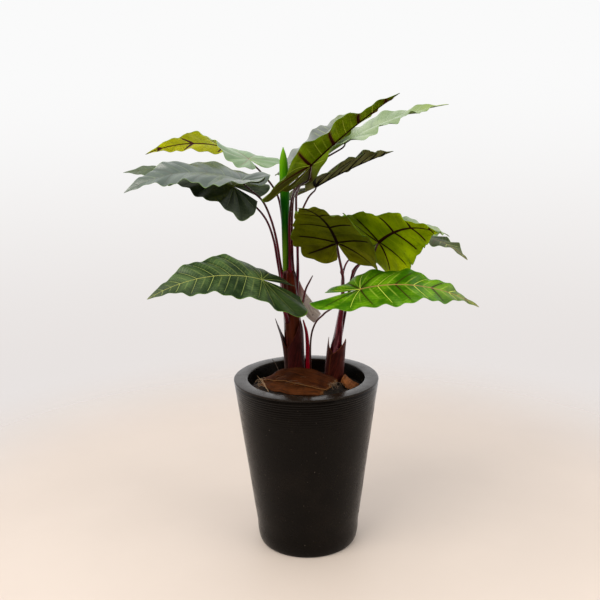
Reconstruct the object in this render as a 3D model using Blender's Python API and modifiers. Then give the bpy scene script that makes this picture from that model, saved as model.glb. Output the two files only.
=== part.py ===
"""Potted colocasia: a tapered pot filled with soil, two clumps of stems and thirteen arrow-shaped leaves.

Metres, +Z up. The origin is the middle of the pot's flat base, and -Y is the front.
"""

from collections import namedtuple
from dataclasses import dataclass
from math import atan2, cos, exp, pi, radians, sin, sqrt

import bmesh
import bpy
import numpy as np
from mathutils import Vector

GAP = 0.0003  # between pieces that touch

# Pot
POT_HEIGHT = 0.450
RIM_RADIUS = 0.1880
MOUTH_RADIUS = 0.152
FOOT_RADIUS = 0.1245
SHOULDER_RADIUS = 0.1355  # where the wall meets the rounded foot
FOOT_HEIGHT = 0.052
CAVITY_FLOOR = 0.030
CAVITY_FLOOR_RADIUS = 0.104
RIM_EDGE = 0.003
GROOVE_DROP = 0.007  # the shadow line under the rim
GROOVE_DEPTH = 0.0015
POT_STEPS = 54

# Soil, a mound that is highest in front of the main stem
SOIL_LEVEL = 0.415
MOUND_HEIGHT = 0.055
MOUND_X = -0.020
MOUND_Y = -0.045
MOUND_REACH_SIDE = 0.125
MOUND_REACH_FRONT = 0.120
MOUND_REACH_BACK = 0.055
SOIL_RINGS = 8

# Leaf blades, as shares of the midrib's length
BLADE_THICKNESS = 0.0008
FRONT_RIBS = 7
LOBE_RIBS = 3.4
RIB_ANGLE_HUB = 64.0
RIB_ANGLE_TIP = 38.0
RIB_ANGLE_LOBE = 170.0
RIB_LENGTH = 0.36
LOBE_SHARES = (0.0, 0.33, 0.72, 1.0)
LOBE_LENGTHS = (0.36, 0.355, 0.45, 0.36)
RIB_BOW = 0.10
TIP_TAPER = 0.40  # how much narrower the last half of the blade is at its tip
STATIONS_PER_RIB = 3
RIPPLE = 0.0025  # height of the pleat at each rib, metres
WAVE = 0.0065  # height of the long waves of the margin, metres
WAVE_RIBS = 2.6
CURL_SPAN = 0.3
FULL_RIB = 0.16  # ribs shorter than this share carry less of the waves

PETIOLE_TIP_RADIUS = 0.0021
PETIOLE_END = 0.012  # the last stretch under the blade
PETIOLE_LEAN = 62.0  # its greatest angle from the blade's normal
SEAT_GAP = 0.0007  # room between its flat end and the blade


@dataclass(frozen=True)
class Leaf:
    """A blade's size and pose. Angles are in degrees, and pairs are (left, right) of the midrib from above."""

    name: str
    hub: tuple  # where the petiole meets the blade
    heading: float  # from +X towards +Y
    rise: float  # of the midrib at the hub
    droop: float  # how far the rise falls by the tip
    roll: float  # lifts the left half
    sweep: float = 0.0  # how far the heading turns by the tip
    twist: float = 0.0  # how far the roll turns by the tip
    back: float = 15.0  # how far the lobes bend down
    fold: tuple = (5.0, 5.0)  # of each half at the midrib
    curl: tuple = (-17.0, -17.0)  # of each half, from midrib to margin
    sag: tuple = (0.0, 0.0)  # added fold of each lobe
    length: float = 0.29
    breadth: float = 1.0
    lobe: tuple = (1.0, 1.0)
    phase: float = 0.0
    green: str = "leaf_green"
    hook: tuple = (0.0, 0.0)  # added curl of each lobe at its inner edge
    scallop: float = 0.05  # depth of the notches between ribs, as a share of their length
    wave: float = 1.0  # height of the long waves, as a share of WAVE


LEAVES = (
    Leaf("leaf_left_top", (-0.139, 0.080, 1.005), 135, 27, 49, -8, 72, 53, 13, (12, 2), (2, -28), (21, 29),
         0.300, 0.90, (0.45, 0.45), 0.3, "leaf_pale",
         hook=(0.0, -60.0), wave=0.7),
    Leaf("leaf_left_back", (-0.149, -0.060, 0.963), 178, 21, 50, -10, 30, -24, -19, (13, 13), (-22, -37), (41, 27),
         0.290, 1.01, (0.42, 0.42), 1.1, "leaf_grey"),
    Leaf("leaf_left_front", (-0.176, 0.030, 0.941), 180, 26, 36, -22, 1, -13, 30, (-9, -9), (6, -33), (-24, 49),
         0.280, 0.97, (0.73, 0.73), 2.0, "leaf_grey"),
    Leaf("leaf_left_low", (-0.103, -0.130, 0.735), 209, 20, 46, -27, -4, -2, 13, (-3, 9), (9, -27), (-12, 11),
         0.290, 1.02, (1.06, 1.06), 0.7, "leaf_dark",
         hook=(0.0, -72.0), scallop=0.03, wave=0.8),
    Leaf("leaf_top_back", (-0.001, 0.060, 1.002), 51, 36, 24, -11, 14, 10, 16, (6, 18), (-28, -4), (10, 1),
         0.282, 0.95, (0.50, 0.50), 0.0, "leaf_grey"),
    Leaf("leaf_top_front", (0.016, -0.120, 1.000), -34, 40, 12, -1, -7, -3, -17, (24, 17), (-6, -24), (-27, -22),
         0.285, 1.02, (1.16, 1.16), 1.6, "leaf_olive",
         wave=1.0),
    Leaf("leaf_top_right", (0.107, 0.090, 1.041), 30, 28, 20, -7, -33, 23, -11, (12, 13), (-15, -21), (0, 14),
         0.301, 0.98, (0.84, 0.84), 0.9, "leaf_pale"),
    Leaf("leaf_right_upper", (0.032, 0.090, 0.931), 49, 16, 3, -25, -14, -6, 3, (16, 21), (-11, -23), (-6, 13),
         0.308, 1.03, (0.45, 0.45), 2.3, "leaf_olive",
         scallop=0.08),
    Leaf("leaf_second_front", (0.079, -0.060, 0.809), -106, 38, 29, -1, -9, 10, -13, (5, 6), (-35, -13), (-4, -6),
         0.296, 1.07, (0.94, 0.94), 0.4, "leaf_olive"),
    Leaf("leaf_second_right", (0.175, -0.120, 0.819), -69, 29, 34, -44, 0, 7, -43, (-4, 1), (-31, -15), (26, 39),
         0.288, 1.02, (1.09, 1.09), 1.3, "leaf_yellow"),
    Leaf("leaf_low_right", (0.124, -0.220, 0.728), -17, 17, 51, 13, 25, 6, 17, (5, -2), (-13, -7), (15, 23),
         0.282, 1.02, (0.92, 0.92), 2.6, "leaf_bright",
         hook=(-22.0, 0.0), scallop=0.035, wave=0.8),
    Leaf("leaf_second_back", (0.218, 0.020, 0.799), -49, 21, 46, -5, -15, -2, 25, (3, 5), (-17, -16), (0, 0),
         0.280, 1.01, (1.00, 1.00), 1.9, "leaf_dark"),
    Leaf("leaf_second_far", (0.224, 0.230, 0.779), 42, 15, 44, 11, 1, 10, 17, (6, 2), (-18, -16), (0, 0),
         0.305, 1.00, (1.00, 1.00), 0.2, "leaf_pale"),
)

# The main stem, from its foot in the soil: (x, y, z, radius)
MAIN_AXIS = (
    (-0.0300, 0.0, 0.360, 0.0235),
    (-0.0300, 0.0, 0.430, 0.0235),
    (-0.0305, 0.0, 0.500, 0.0235),
    (-0.0320, 0.0, 0.560, 0.0232),
    (-0.0346, 0.0, 0.620, 0.0222),
    (-0.0375, 0.0, 0.670, 0.0205),
    (-0.0395, 0.0, 0.705, 0.0188),
    (-0.0405, 0.0, 0.725, 0.0170),
)
SECOND_AXIS = (
    (0.0706, 0.0, 0.370, 0.0205),
    (0.0706, 0.0, 0.405, 0.0205),
    (0.0706, 0.0, 0.440, 0.0200),
    (0.0738, 0.0, 0.480, 0.0185),
    (0.0788, 0.0, 0.530, 0.0145),
    (0.0835, 0.0, 0.560, 0.0118),
    (0.0880, 0.0, 0.600, 0.0085),
    (0.0912, 0.0, 0.628, 0.0060),
)

# Routes of the leaf stalks that grow from each stem: waypoints before the blade, and the radius at the foot
MAIN_STALKS = {
    "leaf_left_top": (((-0.0470, 0.008, 0.680), (-0.0520, 0.020, 0.780), (-0.0580, 0.045, 0.878),
                       (-0.0740, 0.055, 0.930), (-0.1100, 0.068, 0.975)), 0.0034),
    "leaf_left_back": (((-0.0500, 0.002, 0.660), (-0.0615, 0.002, 0.745), (-0.0700, -0.008, 0.811),
                        (-0.0822, -0.028, 0.866), (-0.1006, -0.046, 0.912), (-0.1290, -0.055, 0.940)), 0.0036),
    "leaf_left_front": (((-0.0500, 0.010, 0.650), (-0.0675, 0.009, 0.745), (-0.0771, 0.005, 0.808),
                         (-0.0956, 0.008, 0.860), (-0.1290, 0.018, 0.898), (-0.1620, 0.026, 0.914)), 0.0034),
    "leaf_left_low": (((-0.0440, -0.012, 0.600), (-0.0560, -0.036, 0.645), (-0.0740, -0.076, 0.685),
                       (-0.0930, -0.112, 0.708)), 0.0034),
    "leaf_top_front": (((-0.0360, -0.006, 0.690), (-0.0372, -0.008, 0.780), (-0.0364, -0.014, 0.858),
                        (-0.0324, -0.030, 0.897), (-0.0270, -0.052, 0.925), (-0.0120, -0.088, 0.950),
                        (0.0090, -0.115, 0.966)), 0.0038),
    "leaf_top_back": (((-0.0320, 0.004, 0.690), (-0.0315, 0.006, 0.780), (-0.0300, 0.012, 0.870),
                       (-0.0230, 0.025, 0.935), (-0.0100, 0.045, 0.975)), 0.0038),
    "leaf_top_right": (((-0.0270, 0.004, 0.670), (-0.0185, 0.016, 0.717), (-0.0180, 0.017, 0.800),
                        (-0.0195, 0.020, 0.890), (-0.0150, 0.028, 0.930), (0.0140, 0.042, 0.968),
                        (0.0430, 0.060, 0.998), (0.0730, 0.080, 1.014)), 0.0036),
    "leaf_right_upper": (((-0.0270, 0.000, 0.650), (-0.0178, 0.006, 0.720), (-0.0166, 0.010, 0.793),
                          (-0.0081, 0.030, 0.8641), (0.0100, 0.060, 0.9035), (0.0241, 0.077, 0.9185)), 0.0034),
}
STUB = ((-0.026, -0.004, 0.610), (-0.0073, -0.008, 0.648), (0.0021, -0.010, 0.684), (0.0197, -0.010, 0.7186))
STUB_RADIUS = 0.0026
SECOND_STALKS = {
    "leaf_second_front": (((0.0790, 0.000, 0.530), (0.0860, -0.002, 0.575), (0.0939, -0.006, 0.634),
                           (0.0955, -0.020, 0.700), (0.0925, -0.032, 0.731), (0.0840, -0.052, 0.772)), 0.0062),
    "leaf_second_right": (((0.0820, 0.002, 0.530), (0.0935, 0.004, 0.575), (0.1051, 0.006, 0.632),
                           (0.1219, 0.012, 0.720), (0.1426, 0.014, 0.744), (0.1600, -0.040, 0.768),
                           (0.1650, -0.090, 0.785)), 0.0036),
    "leaf_second_back": (((0.0830, 0.006, 0.530), (0.0930, 0.012, 0.575), (0.1075, 0.020, 0.634),
                          (0.1270, 0.030, 0.715), (0.1550, 0.034, 0.748), (0.1950, 0.030, 0.770)), 0.0034),
    "leaf_second_far": (((0.0780, 0.006, 0.530), (0.0860, 0.014, 0.575), (0.0945, 0.030, 0.634),
                         (0.0990, 0.070, 0.700), (0.1200, 0.120, 0.735), (0.1750, 0.190, 0.750)), 0.0034),
}
LOW_STALK = (((0.0115, -0.034, 0.405), (0.0115, -0.034, 0.450), (0.0121, -0.038, 0.5536),
              (0.0231, -0.062, 0.6063), (0.0423, -0.095, 0.6375), (0.0538, -0.115, 0.6524),
              (0.0916, -0.175, 0.6920)), 0.0024)

# The rolled young leaf: (x, y, z, radius)
SPEAR_AXIS = (
    (-0.0490, -0.002, 0.7253, 0.0066),
    (-0.0485, -0.002, 0.767, 0.0079),
    (-0.0480, -0.002, 0.818, 0.0090),
    (-0.0476, -0.002, 0.868, 0.0102),
    (-0.0472, -0.002, 0.915, 0.0123),
    (-0.0476, -0.002, 0.960, 0.0125),
    (-0.0486, -0.002, 0.995, 0.0110),
    (-0.0490, -0.002, 1.018, 0.0072),
    (-0.0493, -0.002, 1.038, 0.0006),
)

# The red stalk beside the main stem: (x, y, z, radius)
RED_STALK = (
    (0.0045, -0.018, 0.405, 0.0060),
    (0.0045, -0.018, 0.450, 0.0060),
    (0.0045, -0.018, 0.500, 0.0058),
    (0.0042, -0.018, 0.545, 0.0050),
    (0.0015, -0.017, 0.575, 0.0040),
    (-0.0035, -0.015, 0.595, 0.0027),
    (-0.0060, -0.014, 0.605, 0.0016),
)

# Papery sheaths round the feet of the stems
SHEATH_THICKNESS = 0.0012
SHEATH_FOOT = 0.4003
SHEATH_HOLE_FLOOR = 0.400
Sheath = namedtuple("Sheath", "name axis layer start end tip_at spread shoulder tip flare")
SHEATHS = (
    Sheath("main_sheath_left", "main", 0, -95, -262, -185, 58, 0.528, 0.606, 0.020),
    Sheath("main_sheath_right", "main", 1, -126, 62, -38, 96, 0.530, 0.608, 0.001),
    Sheath("second_sheath_left", "second", 0, -98, -285, -176, 70, 0.515, 0.556, 0.001),
    Sheath("second_sheath_right", "second", 1, -125, 85, -28, 96, 0.514, 0.553, -0.0012),
)
SHEATH_RADII = {"main": ((0.40, 0.0243), (0.56, 0.0240), (0.62, 0.0230)),
                "second": ((0.40, 0.0225), (0.48, 0.0230), (0.56, 0.0215))}
LAYER_STEP = 0.0017

# Husk sheets on the soil
HUSK_THICKNESS = 0.0020
HUSK_SEGMENTS = 14
HUSK_ROWS = 5

Finish = namedtuple("Finish", "colour roughness metallic")
FINISHES = {
    "pot_black": Finish((0.011, 0.009, 0.008), 0.42, 0.0),
    "soil_dark": Finish((0.012, 0.008, 0.006), 0.95, 0.0),
    "husk_brown": Finish((0.090, 0.034, 0.014), 0.80, 0.0),
    "stem_maroon": Finish((0.045, 0.008, 0.008), 0.38, 0.0),
    "sheath_brown": Finish((0.040, 0.014, 0.010), 0.60, 0.0),
    "stalk_red": Finish((0.220, 0.002, 0.008), 0.25, 0.0),
    "dry_grey": Finish((0.230, 0.190, 0.165), 0.75, 0.0),
    "young_green": Finish((0.030, 0.130, 0.008), 0.45, 0.0),
    "leaf_green": Finish((0.060, 0.110, 0.030), 0.50, 0.0),
    "leaf_dark": Finish((0.045, 0.085, 0.035), 0.50, 0.0),
    "leaf_grey": Finish((0.150, 0.200, 0.160), 0.48, 0.0),
    "leaf_pale": Finish((0.200, 0.290, 0.120), 0.50, 0.0),
    "leaf_olive": Finish((0.080, 0.100, 0.012), 0.55, 0.0),
    "leaf_yellow": Finish((0.150, 0.200, 0.012), 0.55, 0.0),
    "leaf_bright": Finish((0.080, 0.240, 0.012), 0.45, 0.0),
}


def clear_scene():
    for obj in list(bpy.data.objects):
        bpy.data.objects.remove(obj, do_unlink=True)


def new_collection(name):
    made = bpy.data.collections.new(name)
    bpy.context.scene.collection.children.link(made)
    return made


def finish(name):
    """The material of that name, made when it is first asked for."""
    found = bpy.data.materials.get(name)
    if found:
        return found
    made = bpy.data.materials.new(name)
    made.use_nodes = True
    shader = made.node_tree.nodes["Principled BSDF"]
    wanted = FINISHES[name]
    shader.inputs["Base Color"].default_value = (*wanted.colour, 1.0)
    shader.inputs["Roughness"].default_value = wanted.roughness
    shader.inputs["Metallic"].default_value = wanted.metallic
    return made


def place(name, data, material, collection):
    """An object of that mesh or curve, in the collection, with the material on it."""
    obj = bpy.data.objects.new(name, data)
    collection.objects.link(obj)
    if material:
        data.materials.append(finish(material))
    return obj


def as_mesh(obj):
    """The object turned into a welded mesh, as it is evaluated, with no modifiers left."""
    bpy.context.view_layer.update()
    graph = bpy.context.evaluated_depsgraph_get()
    mesh = bpy.data.meshes.new_from_object(obj.evaluated_get(graph))
    shape = bmesh.new()
    shape.from_mesh(mesh)
    bmesh.ops.remove_doubles(shape, verts=shape.verts, dist=0.00001)
    shape.to_mesh(mesh)
    shape.free()
    made = bpy.data.objects.new(obj.name + "_mesh", mesh)
    made.matrix_world = obj.matrix_world
    for collection in obj.users_collection:
        collection.objects.link(made)
    name = obj.name
    bpy.data.objects.remove(obj, do_unlink=True)
    made.name = name
    return made


def smooth(obj, angle=40):
    obj.data.shade_smooth()
    obj.data.set_sharp_from_angle(angle=radians(angle))


def turned(name, profile, steps, material, collection):
    """A solid turned about Z from (radius, height) points that run down its outer side."""
    mesh = bpy.data.meshes.new(name)
    points = [(r, 0.0, z) for r, z in profile]
    mesh.from_pydata(points, [(i, i + 1) for i in range(len(points) - 1)], [])
    obj = place(name, mesh, material, collection)
    screw = obj.modifiers.new("Screw", "SCREW")
    screw.steps = steps
    screw.render_steps = steps
    screw.use_merge_vertices = True
    screw.merge_threshold = 0.00001
    screw.use_smooth_shade = True
    return obj


def tube(name, points, sides, material, collection):
    """A round stem through (x, y, z, radius) points, with closed ends."""
    data = bpy.data.curves.new(name, "CURVE")
    data.dimensions = "3D"
    data.bevel_depth = 1.0
    data.bevel_resolution = sides // 2 - 2
    data.use_fill_caps = True
    data.twist_mode = "MINIMUM"
    line = data.splines.new("POLY")
    line.points.add(len(points) - 1)
    for spot, (x, y, z, r) in zip(line.points, points):
        spot.co = (x, y, z, 1.0)
        spot.radius = r
    return place(name, data, material, collection)


def along(points, count):
    """count points at even steps on a smooth curve through the given ones (Catmull-Rom)."""
    p = np.array(points, float)
    p = np.vstack([2 * p[0] - p[1], p, 2 * p[-1] - p[-2]])
    steps = np.linspace(0, len(points) - 1, 16 * len(points))
    fine = []
    for s in steps:
        i = min(int(s), len(points) - 2)
        t = s - i
        a, b, c, d = p[i:i + 4]
        fine.append(0.5 * (2 * b + (c - a) * t + (2 * a - 5 * b + 4 * c - d) * t**2 + (3 * b - a - 3 * c + d) * t**3))
    fine = np.array(fine)
    walked = np.concatenate([[0], np.cumsum(np.linalg.norm(np.diff(fine[:, :3], axis=0), axis=1))])
    wanted = np.linspace(0, walked[-1], count)
    return np.stack([np.interp(wanted, walked, fine[:, k]) for k in range(p.shape[1])], axis=-1)


def fuse(obj, others, collection_name):
    """One body made of obj and the others, which are used up."""
    tools = new_collection(collection_name)
    for other in others:
        for held in other.users_collection:
            held.objects.unlink(other)
        tools.objects.link(other)
    union = obj.modifiers.new("Union", "BOOLEAN")
    union.operation = "UNION"
    union.operand_type = "COLLECTION"
    union.collection = tools
    union.solver = "EXACT"
    made = as_mesh(obj)
    for other in list(tools.objects):
        bpy.data.objects.remove(other, do_unlink=True)
    bpy.data.collections.remove(tools)
    return made


def cut(obj, cutters):
    """obj less the cutters, which stay as hidden guides."""
    for cutter in cutters:
        cutter.hide_render = True
        cutter.display_type = "WIRE"
        hole = obj.modifiers.new("Cut " + cutter.name, "BOOLEAN")
        hole.operation = "DIFFERENCE"
        hole.object = cutter
        hole.solver = "EXACT"


def plug(name, x, y, bottom, radius, collection):
    """A plain cylinder that cuts a stem's hole, reaching well above the soil."""
    top = POT_HEIGHT + 0.1
    mesh = bpy.data.meshes.new(name)
    shape = bmesh.new()
    bmesh.ops.create_cone(shape, cap_ends=True, segments=24, radius1=radius, radius2=radius, depth=top - bottom)
    bmesh.ops.translate(shape, verts=shape.verts, vec=(x, y, (top + bottom) / 2))
    shape.to_mesh(mesh)
    shape.free()
    return place(name, mesh, None, collection)


def between(value, low, high):
    return min(max(value, low), high)


def read_off(table, at):
    """Straight-line reading of ((at, value), ...) pairs."""
    return float(np.interp(at, [row[0] for row in table], [row[1] for row in table]))


# Pot and soil


def wall_radius(z):
    """Outer radius of the pot at height z: a straight taper over a rounded foot."""
    if z < FOOT_HEIGHT:
        rounding = sqrt(1 - (1 - z / FOOT_HEIGHT) ** 2)
        return FOOT_RADIUS + (SHOULDER_RADIUS - FOOT_RADIUS) * rounding
    share = (z - FOOT_HEIGHT) / (POT_HEIGHT - FOOT_HEIGHT)
    return SHOULDER_RADIUS + (RIM_RADIUS - SHOULDER_RADIUS) * share


def cavity_radius(z):
    share = (z - CAVITY_FLOOR) / (POT_HEIGHT - CAVITY_FLOOR)
    return CAVITY_FLOOR_RADIUS + (MOUTH_RADIUS - CAVITY_FLOOR_RADIUS) * share


def ground(x, y):
    """Height of the soil at (x, y)."""
    reach = MOUND_REACH_FRONT if y < MOUND_Y else MOUND_REACH_BACK
    return SOIL_LEVEL + MOUND_HEIGHT * exp(-(((x - MOUND_X) / MOUND_REACH_SIDE) ** 2) - ((y - MOUND_Y) / reach) ** 2)


def make_pot(collection):
    groove = POT_HEIGHT - GROOVE_DROP
    profile = [
        (0.0, CAVITY_FLOOR),
        (CAVITY_FLOOR_RADIUS, CAVITY_FLOOR),
        (MOUTH_RADIUS, POT_HEIGHT - RIM_EDGE),
        (MOUTH_RADIUS + RIM_EDGE, POT_HEIGHT),
        (RIM_RADIUS - RIM_EDGE, POT_HEIGHT),
        (RIM_RADIUS, POT_HEIGHT - RIM_EDGE),
        (wall_radius(groove + GROOVE_DEPTH), groove + GROOVE_DEPTH),
        (wall_radius(groove) - GROOVE_DEPTH, groove),
        (wall_radius(groove - GROOVE_DEPTH), groove - GROOVE_DEPTH),
    ]
    profile += [(wall_radius(z), z) for z in (FOOT_HEIGHT, FOOT_HEIGHT * 0.5, FOOT_HEIGHT * 0.2, FOOT_HEIGHT * 0.05)]
    profile += [(FOOT_RADIUS, 0.0), (0.0, 0.0)]
    return turned("pot", profile, POT_STEPS, "pot_black", collection)


def make_soil(collection, cutters):
    """Fills the pot to the mound, with a plain hole for each stem."""
    bottom = CAVITY_FLOOR + GAP
    rings = [(SOIL_RINGS - i) / SOIL_RINGS for i in range(SOIL_RINGS, 0, -1)]
    edge = cavity_radius(SOIL_LEVEL) - GAP
    profile = [(edge * share, SOIL_LEVEL) for share in rings] + [(edge, SOIL_LEVEL)]
    profile += [(cavity_radius(bottom) - GAP, bottom), (0.0, bottom)]
    obj = as_mesh(turned("soil", profile, 40, "soil_dark", collection))
    for point in obj.data.vertices:
        if point.co.z < SOIL_LEVEL - GAP:
            continue
        x, y = point.co.x, point.co.y
        z = ground(x, y)
        if sqrt(x * x + y * y) > edge - GAP:
            scale = (cavity_radius(z) - GAP) / edge
            point.co.x = x * scale
            point.co.y = y * scale
        point.co.z = z
    cut(obj, cutters)
    return obj


# Leaf blades


def ease(t):
    t = between(t, 0.0, 1.0)
    return t * t * (3 - 2 * t)


def rib(leaf, psi, hand):
    """(share along the midrib, angle, length, share into the lobe) of the side rib at psi.

    psi counts ribs: 0 at the hub, FRONT_RIBS at the tip, -LOBE_RIBS at the inner edge of the lobe.
    hand is 0 for the left half and 1 for the right half.
    """
    c = between(psi / FRONT_RIBS, 0.0, 1.0)
    f = between(-psi / LOBE_RIBS, 0.0, 1.0)
    if psi >= 0:
        angle = RIB_ANGLE_HUB + (RIB_ANGLE_TIP - RIB_ANGLE_HUB) * c
        length = RIB_LENGTH * leaf.breadth * (1 - c) ** 0.8 * (1 - TIP_TAPER * ease(2 * c - 1))
    else:
        angle = RIB_ANGLE_HUB + (RIB_ANGLE_LOBE - RIB_ANGLE_HUB) * f
        length = lobe_length(f) * (leaf.breadth + (leaf.lobe[hand] - leaf.breadth) * f)
    length *= 1 + leaf.scallop * (abs(cos(pi * psi)) - 0.64)
    return c, radians(angle), length, f


def lobe_length(f):
    """Length of the lobe's ribs, eased between the four given ones."""
    i = int(np.clip(np.searchsorted(LOBE_SHARES, f) - 1, 0, len(LOBE_SHARES) - 2))
    t = (f - LOBE_SHARES[i]) / (LOBE_SHARES[i + 1] - LOBE_SHARES[i])
    return LOBE_LENGTHS[i] + (LOBE_LENGTHS[i + 1] - LOBE_LENGTHS[i]) * ease(t)


class Spine:
    """The midrib of a leaf, carried on behind the hub, with the directions across and out of the blade."""

    def __init__(self, leaf):
        self.leaf = leaf
        self.u = np.linspace(-0.8, 1.3, 211)
        rise = radians(leaf.rise) - np.where(self.u >= 0, radians(leaf.droop), radians(leaf.back)) * self.u
        heading = radians(leaf.heading) + radians(leaf.sweep) * self.u
        roll = radians(leaf.roll) + radians(leaf.twist) * self.u
        run = np.stack([np.cos(rise) * np.cos(heading), np.cos(rise) * np.sin(heading), np.sin(rise)], axis=-1)
        level = np.stack([-np.sin(heading), np.cos(heading), 0 * heading], axis=-1)
        up = np.cross(run, level)
        self.across = level * np.cos(roll)[:, None] + up * np.sin(roll)[:, None]
        self.out = up * np.cos(roll)[:, None] - level * np.sin(roll)[:, None]
        step = self.u[1] - self.u[0]
        walked = np.vstack([[0, 0, 0], np.cumsum((run[1:] + run[:-1]) / 2 * step, axis=0)])
        self.line = walked - self.read(walked, 0.0)

    def read(self, values, u):
        return np.array([np.interp(u, self.u, values[:, k]) for k in range(3)])

    def normal(self):
        return self.read(self.out, 0.0)

    def point(self, psi, e, side):
        """The point at share e of the rib at psi, on the left (side 1) or right (side -1)."""
        leaf = self.leaf
        hand = 0 if side > 0 else 1
        c, angle, length, f = rib(leaf, psi, hand)
        bow = RIB_BOW * e * (1 - e)
        u = c + length * (e * cos(angle) - bow * sin(angle))
        v = length * (e * sin(angle) + bow * cos(angle))
        start = radians(leaf.fold[hand] + leaf.sag[hand] * f)
        bend = radians(leaf.curl[hand] + leaf.hook[hand] * f) / CURL_SPAN
        if abs(bend) < 0.001:
            bend = 0.001
        wide = (sin(start + bend * v) - sin(start)) / bend
        high = (cos(start) - cos(start + bend * v)) / bend
        spot = self.read(self.line, u) + self.read(self.across, u) * side * wide
        out = self.read(self.out, u)
        swell = -RIPPLE * cos(2 * pi * psi) * e**1.5
        swell += WAVE * leaf.wave * sin(2 * pi * psi / WAVE_RIBS + leaf.phase + side) * e * e
        swell *= min(1.0, length / FULL_RIB)
        return np.array(leaf.hub) + leaf.length * (spot + out * high) + out * swell


def make_blade(leaf, collection):
    """An open sheet of triangles, rib by rib, thickened."""
    spine = Spine(leaf)
    shape = bmesh.new()
    back = int(round(LOBE_RIBS * STATIONS_PER_RIB))
    front = FRONT_RIBS * STATIONS_PER_RIB
    hub = shape.verts.new(spine.point(0.0, 0.0, 1))
    tip = shape.verts.new(spine.point(FRONT_RIBS, 0.0, 1))
    midrib = {0: hub, front: tip}
    for i in range(1, front):
        midrib[i] = shape.verts.new(spine.point(i / STATIONS_PER_RIB, 0.0, 1))
    for side in (1, -1):
        rows = []
        for i in range(-back, front + 1):
            psi = -LOBE_RIBS * -i / back if i < 0 else i / STATIONS_PER_RIB
            inner = midrib[max(i, 0)]
            if i == front:
                rows.append([tip, tip, tip])
                continue
            middle = shape.verts.new(spine.point(psi, 0.52, side))
            outer = shape.verts.new(spine.point(psi, 1.0, side))
            rows.append([inner, middle, outer])
        for near, far in zip(rows, rows[1:]):
            for k in (0, 1):
                corners = [near[k], near[k + 1], far[k + 1], far[k]]
                for a, b, c in ((0, 1, 2), (0, 2, 3)):
                    face = [corners[a], corners[b], corners[c]]
                    if len(set(face)) == 3:
                        shape.faces.new(face if side < 0 else face[::-1])
    mesh = bpy.data.meshes.new(leaf.name)
    bmesh.ops.recalc_face_normals(shape, faces=shape.faces)
    shape.to_mesh(mesh)
    shape.free()
    obj = place(leaf.name, mesh, leaf.green, collection)
    shell = obj.modifiers.new("Solidify", "SOLIDIFY")
    shell.thickness = BLADE_THICKNESS
    shell.offset = 0.0
    smooth(obj, 60)
    return obj


# Stems


def make_stalk(leaf, route, foot_radius, collection):
    """The stalk from its foot to just under the blade's hub, which it meets in the way it comes."""
    normal = Spine(leaf).normal()
    way = np.array(leaf.hub) - np.array(route[-1])
    level = way - normal * way.dot(normal)
    level /= np.linalg.norm(level)
    lean = between(atan2(way.dot(level), way.dot(normal)), 0.0, radians(PETIOLE_LEAN))
    way = normal * cos(lean) + level * sin(lean)
    seat = np.array(leaf.hub) - normal * (BLADE_THICKNESS / 2 + SEAT_GAP + PETIOLE_TIP_RADIUS * sin(lean))
    points = [np.array(p) for p in route] + [seat - way * PETIOLE_END, seat]
    count = len(points)
    rows = []
    for i, p in enumerate(points):
        share = i / (count - 1)
        rows.append((*p, foot_radius + (PETIOLE_TIP_RADIUS - foot_radius) * share))
    bends = along(rows[:-1], 2 * count + 3)
    path = [tuple(row) for row in bends] + [rows[-1]]
    return tube(leaf.name + "_stalk", path, 6, "stem_maroon", collection)


def by_name(name):
    return next(leaf for leaf in LEAVES if leaf.name == name)


def make_main_stem(collection):
    core = as_mesh(tube("main_stem", along(MAIN_AXIS, 9), 16, "stem_maroon", collection))
    stalks = [as_mesh(make_stalk(by_name(name), *rest, collection)) for name, rest in MAIN_STALKS.items()]
    stub = tube("stub", [(*p, STUB_RADIUS) for p in along(STUB, 6)], 6, "stem_maroon", collection)
    core = fuse(core, stalks + [as_mesh(stub)], "Main stalks")
    smooth(core)
    return core


def make_second_stem(collection):
    core = as_mesh(tube("second_stem", along(SECOND_AXIS, 7), 14, "stem_maroon", collection))
    stalks = [as_mesh(make_stalk(by_name(name), *rest, collection)) for name, rest in SECOND_STALKS.items()]
    core = fuse(core, stalks, "Second stalks")
    smooth(core)
    return core


def axis_at(axis, z):
    """(x, y) of a stem's axis at height z."""
    heights = [row[2] for row in axis]
    return [float(np.interp(z, heights, [row[k] for row in axis])) for k in (0, 1)]


def make_sheath(sheath, collection):
    """A pointed shell round the foot of a stem, open on its far side."""
    axis = MAIN_AXIS if sheath.axis == "main" else SECOND_AXIS
    columns, rows = 14, 7
    shape = bmesh.new()
    grid = []
    for i in range(columns + 1):
        turn = sheath.start + (sheath.end - sheath.start) * i / columns
        peak = max(0.0, 1 - abs(turn - sheath.tip_at) / sheath.spread) ** 1.4
        top = sheath.shoulder + (sheath.tip - sheath.shoulder) * peak
        line = []
        for j in range(rows + 1):
            share = j / rows
            z = SHEATH_FOOT + (top - SHEATH_FOOT) * share
            r = read_off(SHEATH_RADII[sheath.axis], z) + LAYER_STEP * sheath.layer
            r += sheath.flare * peak * share**4
            x, y = axis_at(axis, z)
            line.append(shape.verts.new((x + r * cos(radians(turn)), y + r * sin(radians(turn)), z)))
        grid.append(line)
    for a, b in zip(grid, grid[1:]):
        for j in range(rows):
            face = [a[j], b[j], b[j + 1], a[j + 1]]
            shape.faces.new(face if sheath.end > sheath.start else face[::-1])
    mesh = bpy.data.meshes.new(sheath.name)
    bmesh.ops.triangulate(shape, faces=shape.faces)
    shape.to_mesh(mesh)
    shape.free()
    obj = place(sheath.name, mesh, "sheath_brown", collection)
    shell = obj.modifiers.new("Solidify", "SOLIDIFY")
    shell.thickness = SHEATH_THICKNESS
    shell.offset = 1.0
    smooth(obj)
    return obj


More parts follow.
